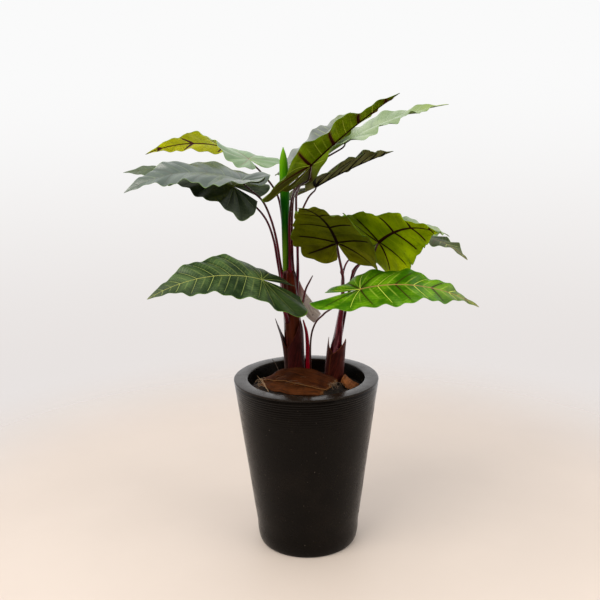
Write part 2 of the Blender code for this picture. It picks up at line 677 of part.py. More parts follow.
def make_spear(collection):
    """The rolled young leaf, which stands on top of the main stem."""
    obj = tube("young_leaf", along(SPEAR_AXIS, 15), 12, "young_green", collection)
    return obj


def make_red_stalk(collection):
    return tube("red_stalk", along(RED_STALK, 12), 10, "stalk_red", collection)


def make_low_stalk(collection):
    leaf = by_name("leaf_low_right")
    obj = as_mesh(make_stalk(leaf, *LOW_STALK, collection))
    obj.name = "low_stalk"
    smooth(obj)
    return obj


def sheet(name, left, right, thickness, material, collection, lift=None):
    """A thin sheet between two edges, each a list of points read as a smooth curve."""
    a = along(left, HUSK_SEGMENTS + 1)
    b = along(right, HUSK_SEGMENTS + 1)
    shape = bmesh.new()
    grid = []
    for i in range(HUSK_SEGMENTS + 1):
        line = []
        for j in range(HUSK_ROWS + 1):
            t = j / HUSK_ROWS
            p = a[i] * (1 - t) + b[i] * t
            if lift:
                p = lift(p, i / HUSK_SEGMENTS, t)
            line.append(shape.verts.new(p))
        grid.append(line)
    for one, two in zip(grid, grid[1:]):
        for j in range(HUSK_ROWS):
            shape.faces.new([one[j], two[j], two[j + 1], one[j + 1]])
    mesh = bpy.data.meshes.new(name)
    bmesh.ops.triangulate(shape, faces=shape.faces)
    if sum(face.normal.z for face in shape.faces) < 0:
        bmesh.ops.reverse_faces(shape, faces=shape.faces)
    shape.normal_update()
    shape.to_mesh(mesh)
    shape.free()
    obj = place(name, mesh, material, collection)
    shell = obj.modifiers.new("Solidify", "SOLIDIFY")
    shell.thickness = thickness
    shell.offset = 1.0
    smooth(obj)
    return obj


def make_husk(collection):
    """Two overlapping sheets in front of the stems and a small one at the right."""

    def on_soil(layer, flap):
        def lift(p, s, t):
            rumple = 0.0012 * sin(9 * s * pi) * (1 - t) + 0.0008 * sin(23 * s + 4 * t)
            z = ground(p[0], p[1]) + layer + 0.002 + rumple + flap * (1 - t) ** 1.5 * sin(pi * between(s, 0.02, 0.98)) ** 0.4
            return (p[0], p[1], z)
        return lift

    sheet("husk_lower",
          [(-0.108, 0.000, 0), (-0.070, -0.040, 0), (-0.010, -0.075, 0), (0.048, -0.095, 0)],
          [(-0.118, -0.058, 0), (-0.085, -0.108, 0), (-0.030, -0.137, 0), (0.040, -0.136, 0)],
          HUSK_THICKNESS, "husk_brown", collection, on_soil(0.0, 0.0))
    sheet("husk_upper",
          [(-0.112, 0.012, 0), (-0.070, -0.030, 0), (-0.020, -0.046, 0), (0.040, -0.050, 0), (0.084, -0.050, 0)],
          [(-0.120, -0.028, 0), (-0.079, -0.073, 0), (-0.031, -0.102, 0), (0.013, -0.114, 0), (0.054, -0.117, 0)],
          HUSK_THICKNESS, "husk_brown", collection, on_soil(0.0045, 0.011))
    sheet("husk_right",
          [(0.098, 0.050, 0), (0.101, 0.020, 0), (0.100, -0.016, 0), (0.088, -0.060, 0)],
          [(0.125, 0.046, 0), (0.139, 0.006, 0), (0.131, -0.030, 0), (0.104, -0.074, 0)],
          HUSK_THICKNESS, "husk_brown", collection, on_soil(0.0, 0.024))


def make_dry_sheath(collection):
    """A withered grey sheath that hangs beside the main stem."""
    sheet("dry_sheath",
          [(-0.0181, 0.0160, 0.7010), (-0.0160, 0.0195, 0.6570), (0.0013, 0.0250, 0.6070), (0.0218, 0.0250, 0.5860)],
          [(-0.0150, 0.0160, 0.7030), (-0.0030, 0.0220, 0.6750), (0.0190, 0.0260, 0.6420), (0.0407, 0.0250, 0.6097)],
          0.0008, "dry_grey", collection)


def main():
    clear_scene()
    parts = new_collection("Potted colocasia")
    cutters = new_collection("Cutters")
    make_pot(parts)
    holes = [
        plug("hole_main_stem", MAIN_AXIS[0][0], MAIN_AXIS[0][1], MAIN_AXIS[0][2] - GAP, MAIN_AXIS[0][3] + GAP, cutters),
        plug("hole_main_sheath", MAIN_AXIS[0][0], MAIN_AXIS[0][1], SHEATH_HOLE_FLOOR, 0.0285, cutters),
        plug("hole_second_stem", SECOND_AXIS[0][0], SECOND_AXIS[0][1], SECOND_AXIS[0][2] - GAP,
             SECOND_AXIS[0][3] + GAP, cutters),
        plug("hole_second_sheath", SECOND_AXIS[0][0], SECOND_AXIS[0][1], SHEATH_HOLE_FLOOR, 0.0268, cutters),
        plug("hole_red_stalk", RED_STALK[0][0], RED_STALK[0][1], RED_STALK[0][2] - GAP, RED_STALK[0][3] + GAP, cutters),
        plug("hole_low_stalk", LOW_STALK[0][0][0], LOW_STALK[0][0][1], LOW_STALK[0][0][2] - GAP,
             LOW_STALK[1] + GAP, cutters),
    ]
    make_soil(parts, holes)
    make_main_stem(parts)
    make_second_stem(parts)
    for sheath in SHEATHS:
        make_sheath(sheath, parts)
    make_spear(parts)
    make_red_stalk(parts)
    make_low_stalk(parts)
    make_husk(parts)
    make_dry_sheath(parts)
    for leaf in LEAVES:
        make_blade(leaf, parts)


main()
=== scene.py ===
"""Looks of the potted colocasia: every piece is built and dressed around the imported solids.

Metres, +Z up. The origin is the middle of the pot's flat base, and -Y is the front.
"""

import logging
from dataclasses import dataclass, field
from enum import Enum
from math import atan2, cos, exp, pi, radians, sin, sqrt
from typing import Callable, Sequence, Union

import bmesh
import bpy
import numpy as np
from mathutils import Euler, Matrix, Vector


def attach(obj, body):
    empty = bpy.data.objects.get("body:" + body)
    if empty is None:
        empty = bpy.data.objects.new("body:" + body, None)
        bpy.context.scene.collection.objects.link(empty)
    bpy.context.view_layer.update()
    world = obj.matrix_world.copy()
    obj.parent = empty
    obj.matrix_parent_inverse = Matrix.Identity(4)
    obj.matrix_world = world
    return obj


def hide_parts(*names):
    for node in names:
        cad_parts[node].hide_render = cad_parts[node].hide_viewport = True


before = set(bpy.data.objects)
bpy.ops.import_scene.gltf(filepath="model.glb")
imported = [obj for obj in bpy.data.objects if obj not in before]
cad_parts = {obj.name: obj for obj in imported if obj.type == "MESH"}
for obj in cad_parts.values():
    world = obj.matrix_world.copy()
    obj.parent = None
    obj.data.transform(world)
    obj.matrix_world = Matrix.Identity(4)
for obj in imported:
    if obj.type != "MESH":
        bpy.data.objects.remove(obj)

LOG = logging.getLogger("potted_colocasia")
BODY = "root"

Point = tuple[float, float, float]
Colour = tuple[float, float, float]
Ring = tuple[float, float, float, float]  # x, y, z and radius
Attributes = dict[str, np.ndarray]


def tone(red: float, green: float, blue: float) -> Colour:
    """A linear colour from the 0 to 255 values that a screen shows."""
    return tuple(
        ((c / 255 + 0.055) / 1.055) ** 2.4 if c > 10 else c / 255 / 12.92 for c in (red, green, blue))


# Shader graphs


class Socket:
    """A shader socket whose operators add Math nodes."""

    def __init__(self, graph: "Graph", socket: bpy.types.NodeSocket) -> None:
        """Holds the graph and the socket."""
        self.graph = graph
        self.socket = socket

    def _math(self, operation: str, *values: "Value") -> "Socket":
        """A Math node of that operation on the values."""
        return self.graph.node("Math", dict(enumerate(values)), operation=operation)

    def __add__(self, other: "Value") -> "Socket":
        """self + other."""
        return self._math("ADD", self, other)

    def __sub__(self, other: "Value") -> "Socket":
        """self - other."""
        return self._math("SUBTRACT", self, other)

    def __mul__(self, other: "Value") -> "Socket":
        """self * other."""
        return self._math("MULTIPLY", self, other)

    def __rsub__(self, other: "Value") -> "Socket":
        """other - self."""
        return self._math("SUBTRACT", other, self)

    __radd__ = __add__
    __rmul__ = __mul__

    def wave(self) -> "Socket":
        """The sine of the value."""
        return self._math("SINE", self)


Value = Union[Socket, float, Colour]


class Graph:
    """The node tree of one material or of the room."""

    def __init__(self, name: str, kind: str = "materials") -> None:
        """Makes the material or world and empties its tree.

        Args:
            name: Its name.
            kind: materials or worlds.
        """
        self.made = getattr(bpy.data, kind).new(name)
        self.made.use_nodes = True
        self.tree = self.made.node_tree
        self.tree.nodes.clear()

    def node(
        self, kind: str, inputs: dict | None = None, output: int | str = 0, **settings: object
    ) -> Socket:
        """Adds one node.

        Args:
            kind: Node type without its ShaderNode prefix.
            inputs: Value or link for each input, by name or number.
            output: The output to return, by name or number.
            settings: Attributes of the node, set before its inputs. stops are a ramp's (place, colour) pairs.

        Returns:
            The chosen output.
        """
        made = self.tree.nodes.new("ShaderNode" + kind)
        for name, value in settings.items():
            if name == "stops":
                self._set_ramp(made.color_ramp, value)
            else:
                setattr(made, name, value)
        for key, value in (inputs or {}).items():
            self._feed(made.inputs[key], value)
        return Socket(self, made.outputs[output])

    def _feed(self, socket: bpy.types.NodeSocket, value: Value) -> None:
        """Fills one input of a node.

        Args:
            socket: The input.
            value: A socket that is linked to it, or the number or colour that it is set to.
        """
        if isinstance(value, Socket):
            self.tree.links.new(value.socket, socket)
        elif socket.type == "RGBA":
            socket.default_value = (*value, 1.0)
        else:
            socket.default_value = value

    @staticmethod
    def _set_ramp(ramp: bpy.types.ColorRamp, stops: Sequence[tuple[float, Colour]]) -> None:
        """Gives a ramp its stops.

        Args:
            ramp: The ramp.
            stops: Pairs of place and colour, in order.
        """
        while len(ramp.elements) < len(stops):
            ramp.elements.new(1.0)
        for element, (place, colour) in zip(ramp.elements, stops):
            element.position = place
            element.color = (*colour, 1.0)

    def attribute(self, name: str) -> Socket:
        """The number stored on the mesh under that name."""
        return self.node("Attribute", output="Fac", attribute_name=name)

    def place(self) -> Socket:
        """The point on the model, in metres."""
        return self.node("TexCoord", output="Object")

    def vector(self, x: Value, y: Value, z: Value) -> Socket:
        """A vector from three numbers."""
        return self.node("CombineXYZ", {0: x, 1: y, 2: z})

    def noise(self, scale: float, where: Socket, detail: float = 3.0, roughness: float = 0.55) -> Socket:
        """Soft random values from 0 to 1 at that scale."""
        return self.node(
            "TexNoise", {"Vector": where, "Scale": scale, "Detail": detail, "Roughness": roughness})

    def step(self, value: Value, low: float, high: float) -> Socket:
        """0 below low and 1 above high, smooth between. It falls instead where low is above high."""
        sockets = {"Value": value, "From Min": low, "From Max": high}
        return self.node("MapRange", sockets, interpolation_type="SMOOTHSTEP")

    def mix(self, share: Value, first: Value, second: Value) -> Socket:
        """The first colour where share is 0 and the second where it is 1."""
        return self.node("Mix", {0: share, 6: first, 7: second}, 2, data_type="RGBA")

    def blend(self, share: Value, first: Value, second: Value) -> Socket:
        """The first number where share is 0 and the second where it is 1."""
        return self.node("Mix", {0: share, 2: first, 3: second}, 0, data_type="FLOAT")

    def bump(self, height: Value, distance: float) -> Socket:
        """A bumped normal. The distance is the height in metres where height is 1."""
        return self.node("Bump", {"Height": height, "Distance": distance, "Strength": 1.0})

    def surface(self, **sockets: Value) -> bpy.types.Material:
        """Ends the graph with a Principled shader.

        Args:
            sockets: Inputs of the shader, with underscores for spaces.

        Returns:
            The finished material.
        """
        named = {name.replace("_", " "): value for name, value in sockets.items()}
        shader = self.node("BsdfPrincipled", named)
        self.finish(shader)
        return self.made

    def finish(self, shader: Socket, kind: str = "OutputMaterial") -> None:
        """Sends a shader to the output, which is OutputWorld for a room."""
        output = self.tree.nodes.new("ShaderNode" + kind)
        self.tree.links.new(shader.socket, output.inputs["Surface"])


# Finishes


@dataclass(frozen=True)
class PotFinish:
    """Black clay with turned lines, smudges and a satin skin."""

    body: Colour = tone(11, 7, 4)
    worn: Colour = tone(24, 18, 13)
    rim: Colour = tone(30, 23, 17)
    fleck: Colour = tone(120, 108, 96)
    rim_from: float = 0.444

    def material(self) -> bpy.types.Material:
        """Builds the finish.

        Returns:
            The finished material.
        """
        g = Graph("pot_clay")
        place = g.place()
        apart = g.node("SeparateXYZ", {0: place}, 2)
        cloudy = g.noise(9.0, place, 5.0)
        smudge = g.noise(38.0, place, 4.0)
        grain = g.noise(900.0, place, 2.0)
        colour = g.mix(g.step(cloudy, 0.45, 0.75) * 0.6, self.body, self.worn)
        colour = g.mix(g.step(smudge, 0.58, 0.72) * 0.35, colour, self.worn)
        colour = g.mix(g.step(apart, self.rim_from, self.rim_from + 0.004), colour, self.rim)
        colour = g.mix(g.step(g.noise(210.0, place, 1.0), 0.76, 0.80) * 0.5, colour, self.fleck)
        rough = g.blend(g.step(smudge, 0.35, 0.7), 0.17, 0.30)
        turning = (apart * 2600.0 + g.noise(14.0, place) * 9.0).wave()
        normal = g.bump(grain * 0.12 + turning * 0.18 + smudge, 0.0003)
        return g.surface(Base_Color=colour, Roughness=rough, Normal=normal, Specular_IOR_Level=0.10)


@dataclass(frozen=True)
class SoilFinish:
    """Dark crumbs with a few lighter ones."""

    dark: Colour = tone(20, 15, 12)
    light: Colour = tone(58, 42, 31)

    def material(self) -> bpy.types.Material:
        """Builds the finish.

        Returns:
            The finished material.
        """
        g = Graph("soil_crumbs")
        place = g.place()
        crumbs = g.node("TexVoronoi", {"Vector": place, "Scale": 170.0})
        coarse = g.noise(60.0, place, 5.0)
        fine = g.noise(420.0, place, 3.0)
        colour = g.mix(g.step(coarse, 0.35, 0.75), self.dark, self.light)
        colour = g.mix(g.step(fine, 0.3, 0.6), self.dark, colour)
        normal = g.bump(coarse * 1.5 - crumbs + fine * 0.6, 0.003)
        return g.surface(Base_Color=colour, Roughness=0.95, Normal=normal, Specular_IOR_Level=0.2)


@dataclass(frozen=True)
class HuskFinish:
    """Husk of brown fibres, paler along its cut edges. The mesh stores run, width, rim and under."""

    name: str = "coconut_husk"
    dark: Colour = tone(40, 17, 6)
    middle: Colour = tone(86, 44, 16)
    light: Colour = tone(134, 84, 42)
    edge: Colour = tone(150, 104, 62)

    def material(self) -> bpy.types.Material:
        """Builds the finish.

        Returns:
            The finished material.
        """
        g = Graph(self.name)
        run, width = g.attribute("run"), g.attribute("width")
        along = g.vector(run * 14.0, width * 240.0, g.attribute("under"))
        strands = g.noise(1.0, along, 4.0, 0.7)
        fine = g.noise(3.1, along, 3.0, 0.7)
        patch = g.noise(34.0, g.place(), 4.0)
        colour = g.mix(g.step(strands, 0.30, 0.62), self.dark, self.middle)
        colour = g.mix(g.step(fine, 0.55, 0.78) * 0.75, colour, self.light)
        colour = g.mix(g.step(patch, 0.42, 0.66) * 0.6, colour, self.dark)
        colour = g.mix(g.attribute("rim") * 0.8, colour, self.edge)
        normal = g.bump(strands + fine * 0.6 + patch * 0.8, 0.0018)
        return g.surface(Base_Color=colour, Roughness=0.85, Normal=normal, Specular_IOR_Level=0.06)


@dataclass(frozen=True)
class FibreFinish:
    """Dry fibres and twigs, each with its own shade. The mesh stores shade."""

    dark: Colour = tone(34, 19, 13)
    light: Colour = tone(186, 150, 112)

    def material(self) -> bpy.types.Material:
        """Builds the finish.

        Returns:
            The finished material.
        """
        g = Graph("dry_fibres")
        grain = g.noise(500.0, g.place(), 3.0)
        share = g.attribute("shade") * 0.85 + grain * 0.15
        colour = g.mix(share, self.dark, self.light)
        return g.surface(Base_Color=colour, Roughness=0.75, Normal=g.bump(grain, 0.0003))


@dataclass(frozen=True)
class StemFinish:
    """A smooth stem with streaks along it, the palest of them partly painted highlights. The mesh stores
    lie_x, lie_y and along.
    """

    name: str = "stem_skin"
    dark: Colour = tone(34, 9, 10)
    middle: Colour = tone(78, 18, 28)
    light: Colour = tone(150, 66, 78)
    patch: Colour = tone(52, 22, 10)
    aloft: Colour = tone(54, 24, 22)
    patches: float = 0.4
    roughness: float = 0.26
    streak: float = 260.0
    gloss: float = 0.35

    def material(self) -> bpy.types.Material:
        """Builds the finish.

        Returns:
            The finished material.
        """
        g = Graph(self.name)
        where = g.vector(g.attribute("lie_x"), g.attribute("lie_y"), g.attribute("along") * 0.06)
        streaks = g.noise(self.streak, where, 3.0, 0.6)
        broad = g.noise(self.streak * 0.25, where, 2.0)
        cloud = g.noise(26.0, g.place(), 3.0)
        fleck = g.noise(700.0, g.place(), 2.0)
        colour = g.mix(g.step(streaks, 0.30, 0.70), self.dark, self.middle)
        # The pale broad streaks are partly the stem's own streaks and partly painted highlights.
        colour = g.mix(g.step(broad, 0.50, 0.78) * 0.6, colour, self.light)
        colour = g.mix(g.step(cloud, 0.45, 0.65) * self.patches, colour, self.patch)
        colour = g.mix(g.step(fleck, 0.66, 0.74) * 0.25, colour, self.light)
        height = g.node("SeparateXYZ", {0: g.place()}, 2)
        colour = g.mix(g.step(height, 0.79, 0.94) * 0.8, colour, self.aloft)
        rough = g.blend(streaks, self.roughness - 0.06, self.roughness + 0.12)
        normal = g.bump(streaks + broad * 0.5, 0.0005)
        return g.surface(Base_Color=colour, Roughness=rough, Normal=normal, Specular_IOR_Level=self.gloss)


@dataclass(frozen=True)
class SheathFinish:
    """Papery bark with ribs that run up it. The mesh stores run, width, rim and under."""

    name: str = "papery_sheath"
    dark: Colour = tone(34, 14, 12)
    middle: Colour = tone(70, 34, 28)
    light: Colour = tone(112, 68, 54)
    edge: Colour = tone(142, 96, 66)
    roughness: float = 0.5

    def material(self) -> bpy.types.Material:
        """Builds the finish.

        Returns:
            The finished material.
        """
        g = Graph(self.name)
        along = g.vector(g.attribute("width") * 300.0, g.attribute("run") * 12.0, g.attribute("under"))
        ribs = g.noise(1.0, along, 3.0, 0.6)
        fine = g.noise(3.7, along, 2.0)
        patch = g.noise(30.0, g.place(), 4.0)
        colour = g.mix(g.step(ribs, 0.32, 0.68), self.dark, self.middle)
        colour = g.mix(g.step(fine, 0.58, 0.80) * 0.5, colour, self.light)
        colour = g.mix(g.step(patch, 0.50, 0.72) * 0.55, colour, self.dark)
        colour = g.mix(g.attribute("rim") * g.step(fine, 0.25, 0.60) * 0.55, colour, self.edge)
        rough = g.blend(patch, self.roughness - 0.08, self.roughness + 0.12)
        normal = g.bump(ribs + fine * 0.5, 0.0006)
        return g.surface(Base_Color=colour, Roughness=rough, Normal=normal, Specular_IOR_Level=0.08)


@dataclass(frozen=True)
class SpearFinish:
    """A rolled young leaf, bright at its tip, with painted shade down its right side and painted light on the
    left of its upper part. The mesh stores rise, seam, lie_x, lie_y and along.
    """

    tip: Colour = tone(112, 164, 8)
    bright: Colour = tone(60, 130, 0)
    deep: Colour = tone(9, 68, 1)
    foot: Colour = tone(88, 118, 18)
    seam: Colour = tone(104, 160, 44)

    def material(self) -> bpy.types.Material:
        """Builds the finish.

        Returns:
            The finished material.
        """
        g = Graph("young_leaf_skin")
        rise = g.attribute("rise")
        where = g.vector(g.attribute("lie_x"), g.attribute("lie_y"), g.attribute("along") * 0.05)
        veins = g.noise(230.0, where, 3.0)
        cloud = g.noise(22.0, g.place(), 3.0)
        stops = ((0.0, self.foot), (0.16, self.foot), (0.40, self.deep), (0.60, self.deep),
            (0.78, self.bright), (1.0, self.tip))
        colour = g.node("ValToRGB", {0: rise + cloud * 0.12 - 0.06}, stops=stops)
        colour = g.mix(g.step(veins, 0.45, 0.75) * 0.30, colour, self.bright)
        colour = g.mix(g.step(veins, 0.50, 0.25) * 0.35, colour, self.deep)
        # Painted shade down the right side of the roll, and painted light on the left side of its upper part.
        across = g.node("SeparateXYZ", {0: g.place()}, 0)
        colour = g.mix(g.step(across, -0.0500, -0.0400) * 0.55, colour, self.deep)
        colour = g.mix(g.step(across, -0.0500, -0.0560) * g.step(rise, 0.55, 0.9) * 0.5, colour, self.tip)
        colour = g.mix(g.attribute("seam") * 0.6, colour, self.seam)
        rough = g.blend(cloud, 0.30, 0.46)
        normal = g.bump(veins, 0.0005)
        return g.surface(Base_Color=colour, Roughness=rough, Normal=normal, Specular_IOR_Level=0.07)


@dataclass(frozen=True)
class DryFinish:
    """A withered strip, grey-brown with a pink top. The mesh stores run, width, rim and under."""

    grey: Colour = tone(226, 216, 210)
    brown: Colour = tone(196, 180, 172)
    mark: Colour = tone(74, 50, 46)
    pink: Colour = tone(170, 104, 104)

    def material(self) -> bpy.types.Material:
        """Builds the finish.

        Returns:
            The finished material.
        """
        g = Graph("withered_strip")
        run = g.attribute("run")
        along = g.vector(g.attribute("width") * 160.0, run * 16.0, 0.0)
        fibres = g.noise(1.0, along, 3.0, 0.6)
        patch = g.noise(60.0, g.place(), 4.0)
        marks = g.noise(150.0, g.place(), 2.0)
        colour = g.mix(g.step(fibres, 0.35, 0.70), self.brown, self.grey)
        colour = g.mix(g.step(patch, 0.40, 0.70) * 0.5, colour, self.grey)
        colour = g.mix(g.step(marks, 0.62, 0.70) * 0.6, colour, self.mark)
        colour = g.mix(g.step(run, 0.055, 0.02) * 0.8, colour, self.pink)
        return g.surface(Base_Color=colour, Roughness=0.7, Normal=g.bump(fibres + patch, 0.0006))


@dataclass(frozen=True)
class LeafFinish:
    """Both faces of a blade and its veins. Widths are half-widths in millimetres.

    The mesh stores vein, mid, strong, between, edge, tipward, lobed and under.
    """

    name: str
    upper: Colour
    upper_deep: Colour
    tip: Colour
    top_mid: Colour
    top_strong: Colour
    top_weak: Colour
    lower: Colour
    lower_deep: Colour
    low_strong: Colour = tone(40, 12, 14)
    low_weak: Colour = tone(150, 168, 60)
    rim: Colour = tone(120, 160, 50)
    top_width: float = 1.1
    low_width: float = 2.5
    weak_width: float = 0.65
    roughness: float = 0.42
    # Share of painted shade along the vein grooves of the upper face.
    groove_shade: float = 0.6
    gloss: float = 0.2
    low_gloss: float = 0.3
    second: float = 0.3
    halo: Colour = tone(96, 70, 10)
    halo_share: float = 0.0
    lobe: Colour = tone(60, 44, 24)
    lobe_share: float = 0.0

    def material(self) -> bpy.types.Material:
        """Builds the finish.

        Returns:
            The finished material.
        """
        g = Graph("blade_" + self.name)
        place, under, edge = g.place(), g.attribute("under"), g.attribute("edge")
        vein, mid, strong = g.attribute("vein"), g.attribute("mid"), g.attribute("strong")
        under = g.step(under, 0.45, 0.55)
        cloud = g.noise(17.0, place, 4.0)
        fine = g.noise(130.0, place, 3.0)
        cells = g.node("TexVoronoi", {"Vector": place, "Scale": 330.0}, feature="DISTANCE_TO_EDGE")

        between = g.attribute("between") + (fine - 0.5) * 0.04
        side_veins = (edge * 58.0 - between * 20.0 + fine * 5.0 + cloud * 9.0).wave()
        threads = g.step(side_veins, 0.55, 1.0) * g.step(vein, 1.0, 4.0)
        threads = threads * g.step(edge, 1.0, 0.9) * g.step(cloud, 0.36, 0.60)

        upper = g.mix(g.step(cloud, 0.34, 0.70), self.upper_deep, self.upper)
        # Painted shade: the upper face is darkened along its vein grooves.
        upper = g.mix(g.step(vein, 10.0, 1.0) * self.groove_shade, upper, self.upper_deep)
        upper = g.mix(g.step(g.attribute("tipward"), 0.45, 1.0) * 0.8, upper, self.tip)
        second = g.step(between, 0.43, 0.49) * g.step(edge, 0.85, 0.45)
        second = second * g.step(edge, 0.02, 0.10) * self.second
        upper = g.mix(threads * 0.20, upper, self.top_weak)
        upper = g.mix(second, upper, self.top_weak)
        lower = g.mix(g.step(cloud, 0.30, 0.66), self.lower_deep, self.lower)
        lower = g.mix(g.step(vein, 7.0, 1.0) * 0.25, lower, self.lower_deep)
        lower = g.mix(g.step(vein, 9.0, 1.0) * g.step(strong, 0.45, 0.55) * self.halo_share, lower, self.halo)
        lower = g.mix(threads * 0.16, lower, self.low_weak)
        lower = g.mix(second, lower, self.low_weak)
        lower = g.mix(g.step(g.noise(260.0, place, 2.0), 0.62, 0.70) * 0.6, lower, self.low_strong)
        lamina = g.mix(under, upper, lower)
        lamina = g.mix(g.step(g.attribute("lobed"), 0.15, 0.70) * self.lobe_share, lamina, self.lobe)
        lamina = g.mix(g.step(fine, 0.35, 0.20) * 0.25, lamina, self.lower_deep)
        lamina = g.mix(g.step(edge, 0.975, 0.995) * 0.6, lamina, self.rim)

        wide = g.blend(under, self.top_width, self.low_width) * (1.15 - edge * 0.6)
        thin = self.weak_width * (1.1 - edge * 0.5)
        ended = g.step(edge + fine * 0.12, 0.94, 0.86)
        bold_line = self._line(g, vein + fine * 0.5, wide) * g.step(strong, 0.45, 0.55) * ended
        faint_line = self._line(g, vein, thin) * g.step(strong, 0.55, 0.45) * ended
        colour = g.mix(faint_line, lamina, g.mix(under, self.top_weak, self.low_weak))
        colour = g.mix(bold_line, colour, g.mix(under, self.top_strong, self.low_strong))
        mid_wide = g.blend(under, self.top_width * 1.25, self.low_width * 1.05)
        mid_wide = mid_wide * (1.0 - g.attribute("tipward") * 0.7)
        colour = g.mix(self._line(g, mid, mid_wide), colour, g.mix(under, self.top_mid, self.low_strong))

        rough = g.blend(g.step(cloud, 0.3, 0.7), self.roughness - 0.05, self.roughness + 0.08) + under * 0.10
        relief = fine * 0.7 + g.step(cells, 0.0, 0.25) * 0.35 + threads * 0.5
        normal = g.bump(relief, 0.00035)
        return g.surface(
            Base_Color=colour, Roughness=rough + 0.1, Normal=normal, Specular_IOR_Level=0.0,
            Coat_Weight=(1.0 - under * (1.0 - self.low_gloss)) * self.gloss, Coat_Roughness=self.roughness,
            Coat_IOR=1.75)

    @staticmethod
    def _line(g: Graph, distance: Socket, width: Socket) -> Socket:
        """1 within the width of a vein, 0 outside it."""
        return g.step(distance - width, 0.35, -0.35)


# Mesh helpers


@dataclass
class Shape:
    """Points, faces and stored numbers of one mesh while it is made."""

    points: list[np.ndarray] = field(default_factory=list)
    faces: list[tuple[int, ...]] = field(default_factory=list)
    stored: dict[str, list[np.ndarray]] = field(default_factory=dict)
    count: int = 0

    def add(self, points: np.ndarray, faces: Sequence[tuple[int, ...]], **stored: np.ndarray) -> None:
        """Adds a part to the mesh.

        Args:
            points: Its points, one row each.
            faces: Its faces, which number the points from 0.
            stored: A number for each point, under each name.
        """
        points = np.asarray(points, float).reshape(-1, 3)
        self.points.append(points)
        self.faces += [tuple(i + self.count for i in face) for face in faces]
        for name, values in stored.items():
            self.stored.setdefault(name, []).append(np.broadcast_to(values, (len(points),)).astype(float))
        self.count += len(points)

    def piece(
        self, name: str, material: bpy.types.Material, slot: str,
        replaced: Sequence[str] = (), sharp: float = 45.0
    ) -> bpy.types.Object:
        """Makes the object and ties it to the frame.

        Args:
            name: Name of the piece.
            material: Its finish.
            slot: The slot that the finish belongs to. It is not used.
            replaced: CAD nodes that it stands for.
            sharp: Angle in degrees from which an edge stays sharp.

        Returns:
            The object.
        """
        mesh = bpy.data.meshes.new(name)
        mesh.from_pydata(np.vstack(self.points).tolist(), [], self.faces)
        for key, parts in self.stored.items():
            made = mesh.attributes.new(key, "FLOAT", "POINT")
            made.data.foreach_set("value", np.concatenate(parts).astype(np.float32))
        mesh.validate()
        mesh.shade_smooth()
        mesh.set_sharp_from_angle(angle=radians(sharp))
        mesh.materials.append(material)
        made = bpy.data.objects.new(name, mesh)
        bpy.context.scene.collection.objects.link(made)
        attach(made, BODY)
        if replaced:
            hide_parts(*replaced)
        LOG.info("%s: %d points, %d faces", name, len(mesh.vertices), len(mesh.polygons))
        return made


def smooth_path(points: Sequence[Sequence[float]], count: int) -> np.ndarray:
    """Even steps along a smooth curve through points.

    Args:
        points: The points, with any further columns, such as a radius.
        count: How many rows to return.

    Returns:
        The rows, with the same columns.
    """
    p = np.array(points, float)
    p = np.vstack([2 * p[0] - p[1], p, 2 * p[-1] - p[-2]])
    spans = len(points) - 1
    steps = np.linspace(0, spans, 24 * spans + 1)
    i = np.minimum(steps.astype(int), spans - 1)
    t = (steps - i)[:, None]
    a, b, c, d = p[i], p[i + 1], p[i + 2], p[i + 3]
    fine = 0.5 * (2 * b + (c - a) * t + (2 * a - 5 * b + 4 * c - d) * t**2 + (3 * b - a - 3 * c + d) * t**3)
    walked = np.concatenate([[0], np.cumsum(np.linalg.norm(np.diff(fine[:, :3], axis=0), axis=1))])
    wanted = np.linspace(0, walked[-1], count)
    return np.stack([np.interp(wanted, walked, fine[:, k]) for k in range(fine.shape[1])], axis=-1)


def cross_axes(path: np.ndarray) -> tuple[np.ndarray, np.ndarray]:
    """Two directions square to a path at each of its points, which don't spin round it.

    Args:
        path: Points of the path.

    Returns:
        The two directions.
    """
    run = np.gradient(path, axis=0)
    run /= np.linalg.norm(run, axis=1)[:, None]
    side = np.cross(run[0], (0.0, 1.0, 0.0) if abs(run[0][1]) < 0.9 else (1.0, 0.0, 0.0))
    sides = []
    for way in run:
        side = side - way * np.dot(side, way)
        side = side / np.linalg.norm(side)
        sides.append(side)
    first = np.array(sides)
    return first, np.cross(run, first)


def sweep(
    shape: Shape, path: np.ndarray, sides: int,
    outline: Callable[[np.ndarray, float], np.ndarray] | None = None, **stored: float
) -> np.ndarray:
    """Adds a closed stem to a shape.

    Args:
        shape: The mesh it is added to.
        path: Rows of x, y, z and radius.
        sides: Points in each ring.
        outline: Gives each point's share of the radius from its angles and the share walked.
        stored: Numbers to store all over it.

    Returns:
        The share walked, 0 to 1, at each point that was added.
    """
    first, second = cross_axes(path[:, :3])
    turn = np.linspace(0, 2 * pi, sides, endpoint=False)
    count = len(path)
    walked = np.concatenate([[0], np.cumsum(np.linalg.norm(np.diff(path[:, :3], axis=0), axis=1))])
    share = walked / walked[-1]
    radii = np.array([
        path[i, 3] * (outline(turn, share[i]) if outline else np.ones(sides)) for i in range(count)])
    lie_x, lie_y = radii * np.cos(turn), radii * np.sin(turn)
    rings = path[:, None, :3] + first[:, None, :] * lie_x[..., None] + second[:, None, :] * lie_y[..., None]
    points = np.vstack([rings.reshape(-1, 3), path[0, :3], path[-1, :3]])
    foot, head = count * sides, count * sides + 1
    faces = []
    for j in range(sides):
        k = (j + 1) % sides
        faces.append((foot, k, j))
        faces.append((head, (count - 1) * sides + j, (count - 1) * sides + k))
        faces += [
            (base + j, base + k, base + sides + k, base + sides + j) for base in range(0, (count - 1) * sides,
                sides)]
    ends = np.array([0.0, 1.0])
    all_shares = np.concatenate([np.repeat(share, sides), ends])
    shape.add(
        points, faces,
        lie_x=np.concatenate([lie_x.ravel(), [0, 0]]), lie_y=np.concatenate([lie_y.ravel(), [0, 0]]),
        along=all_shares * walked[-1], **stored,
    )
    return all_shares


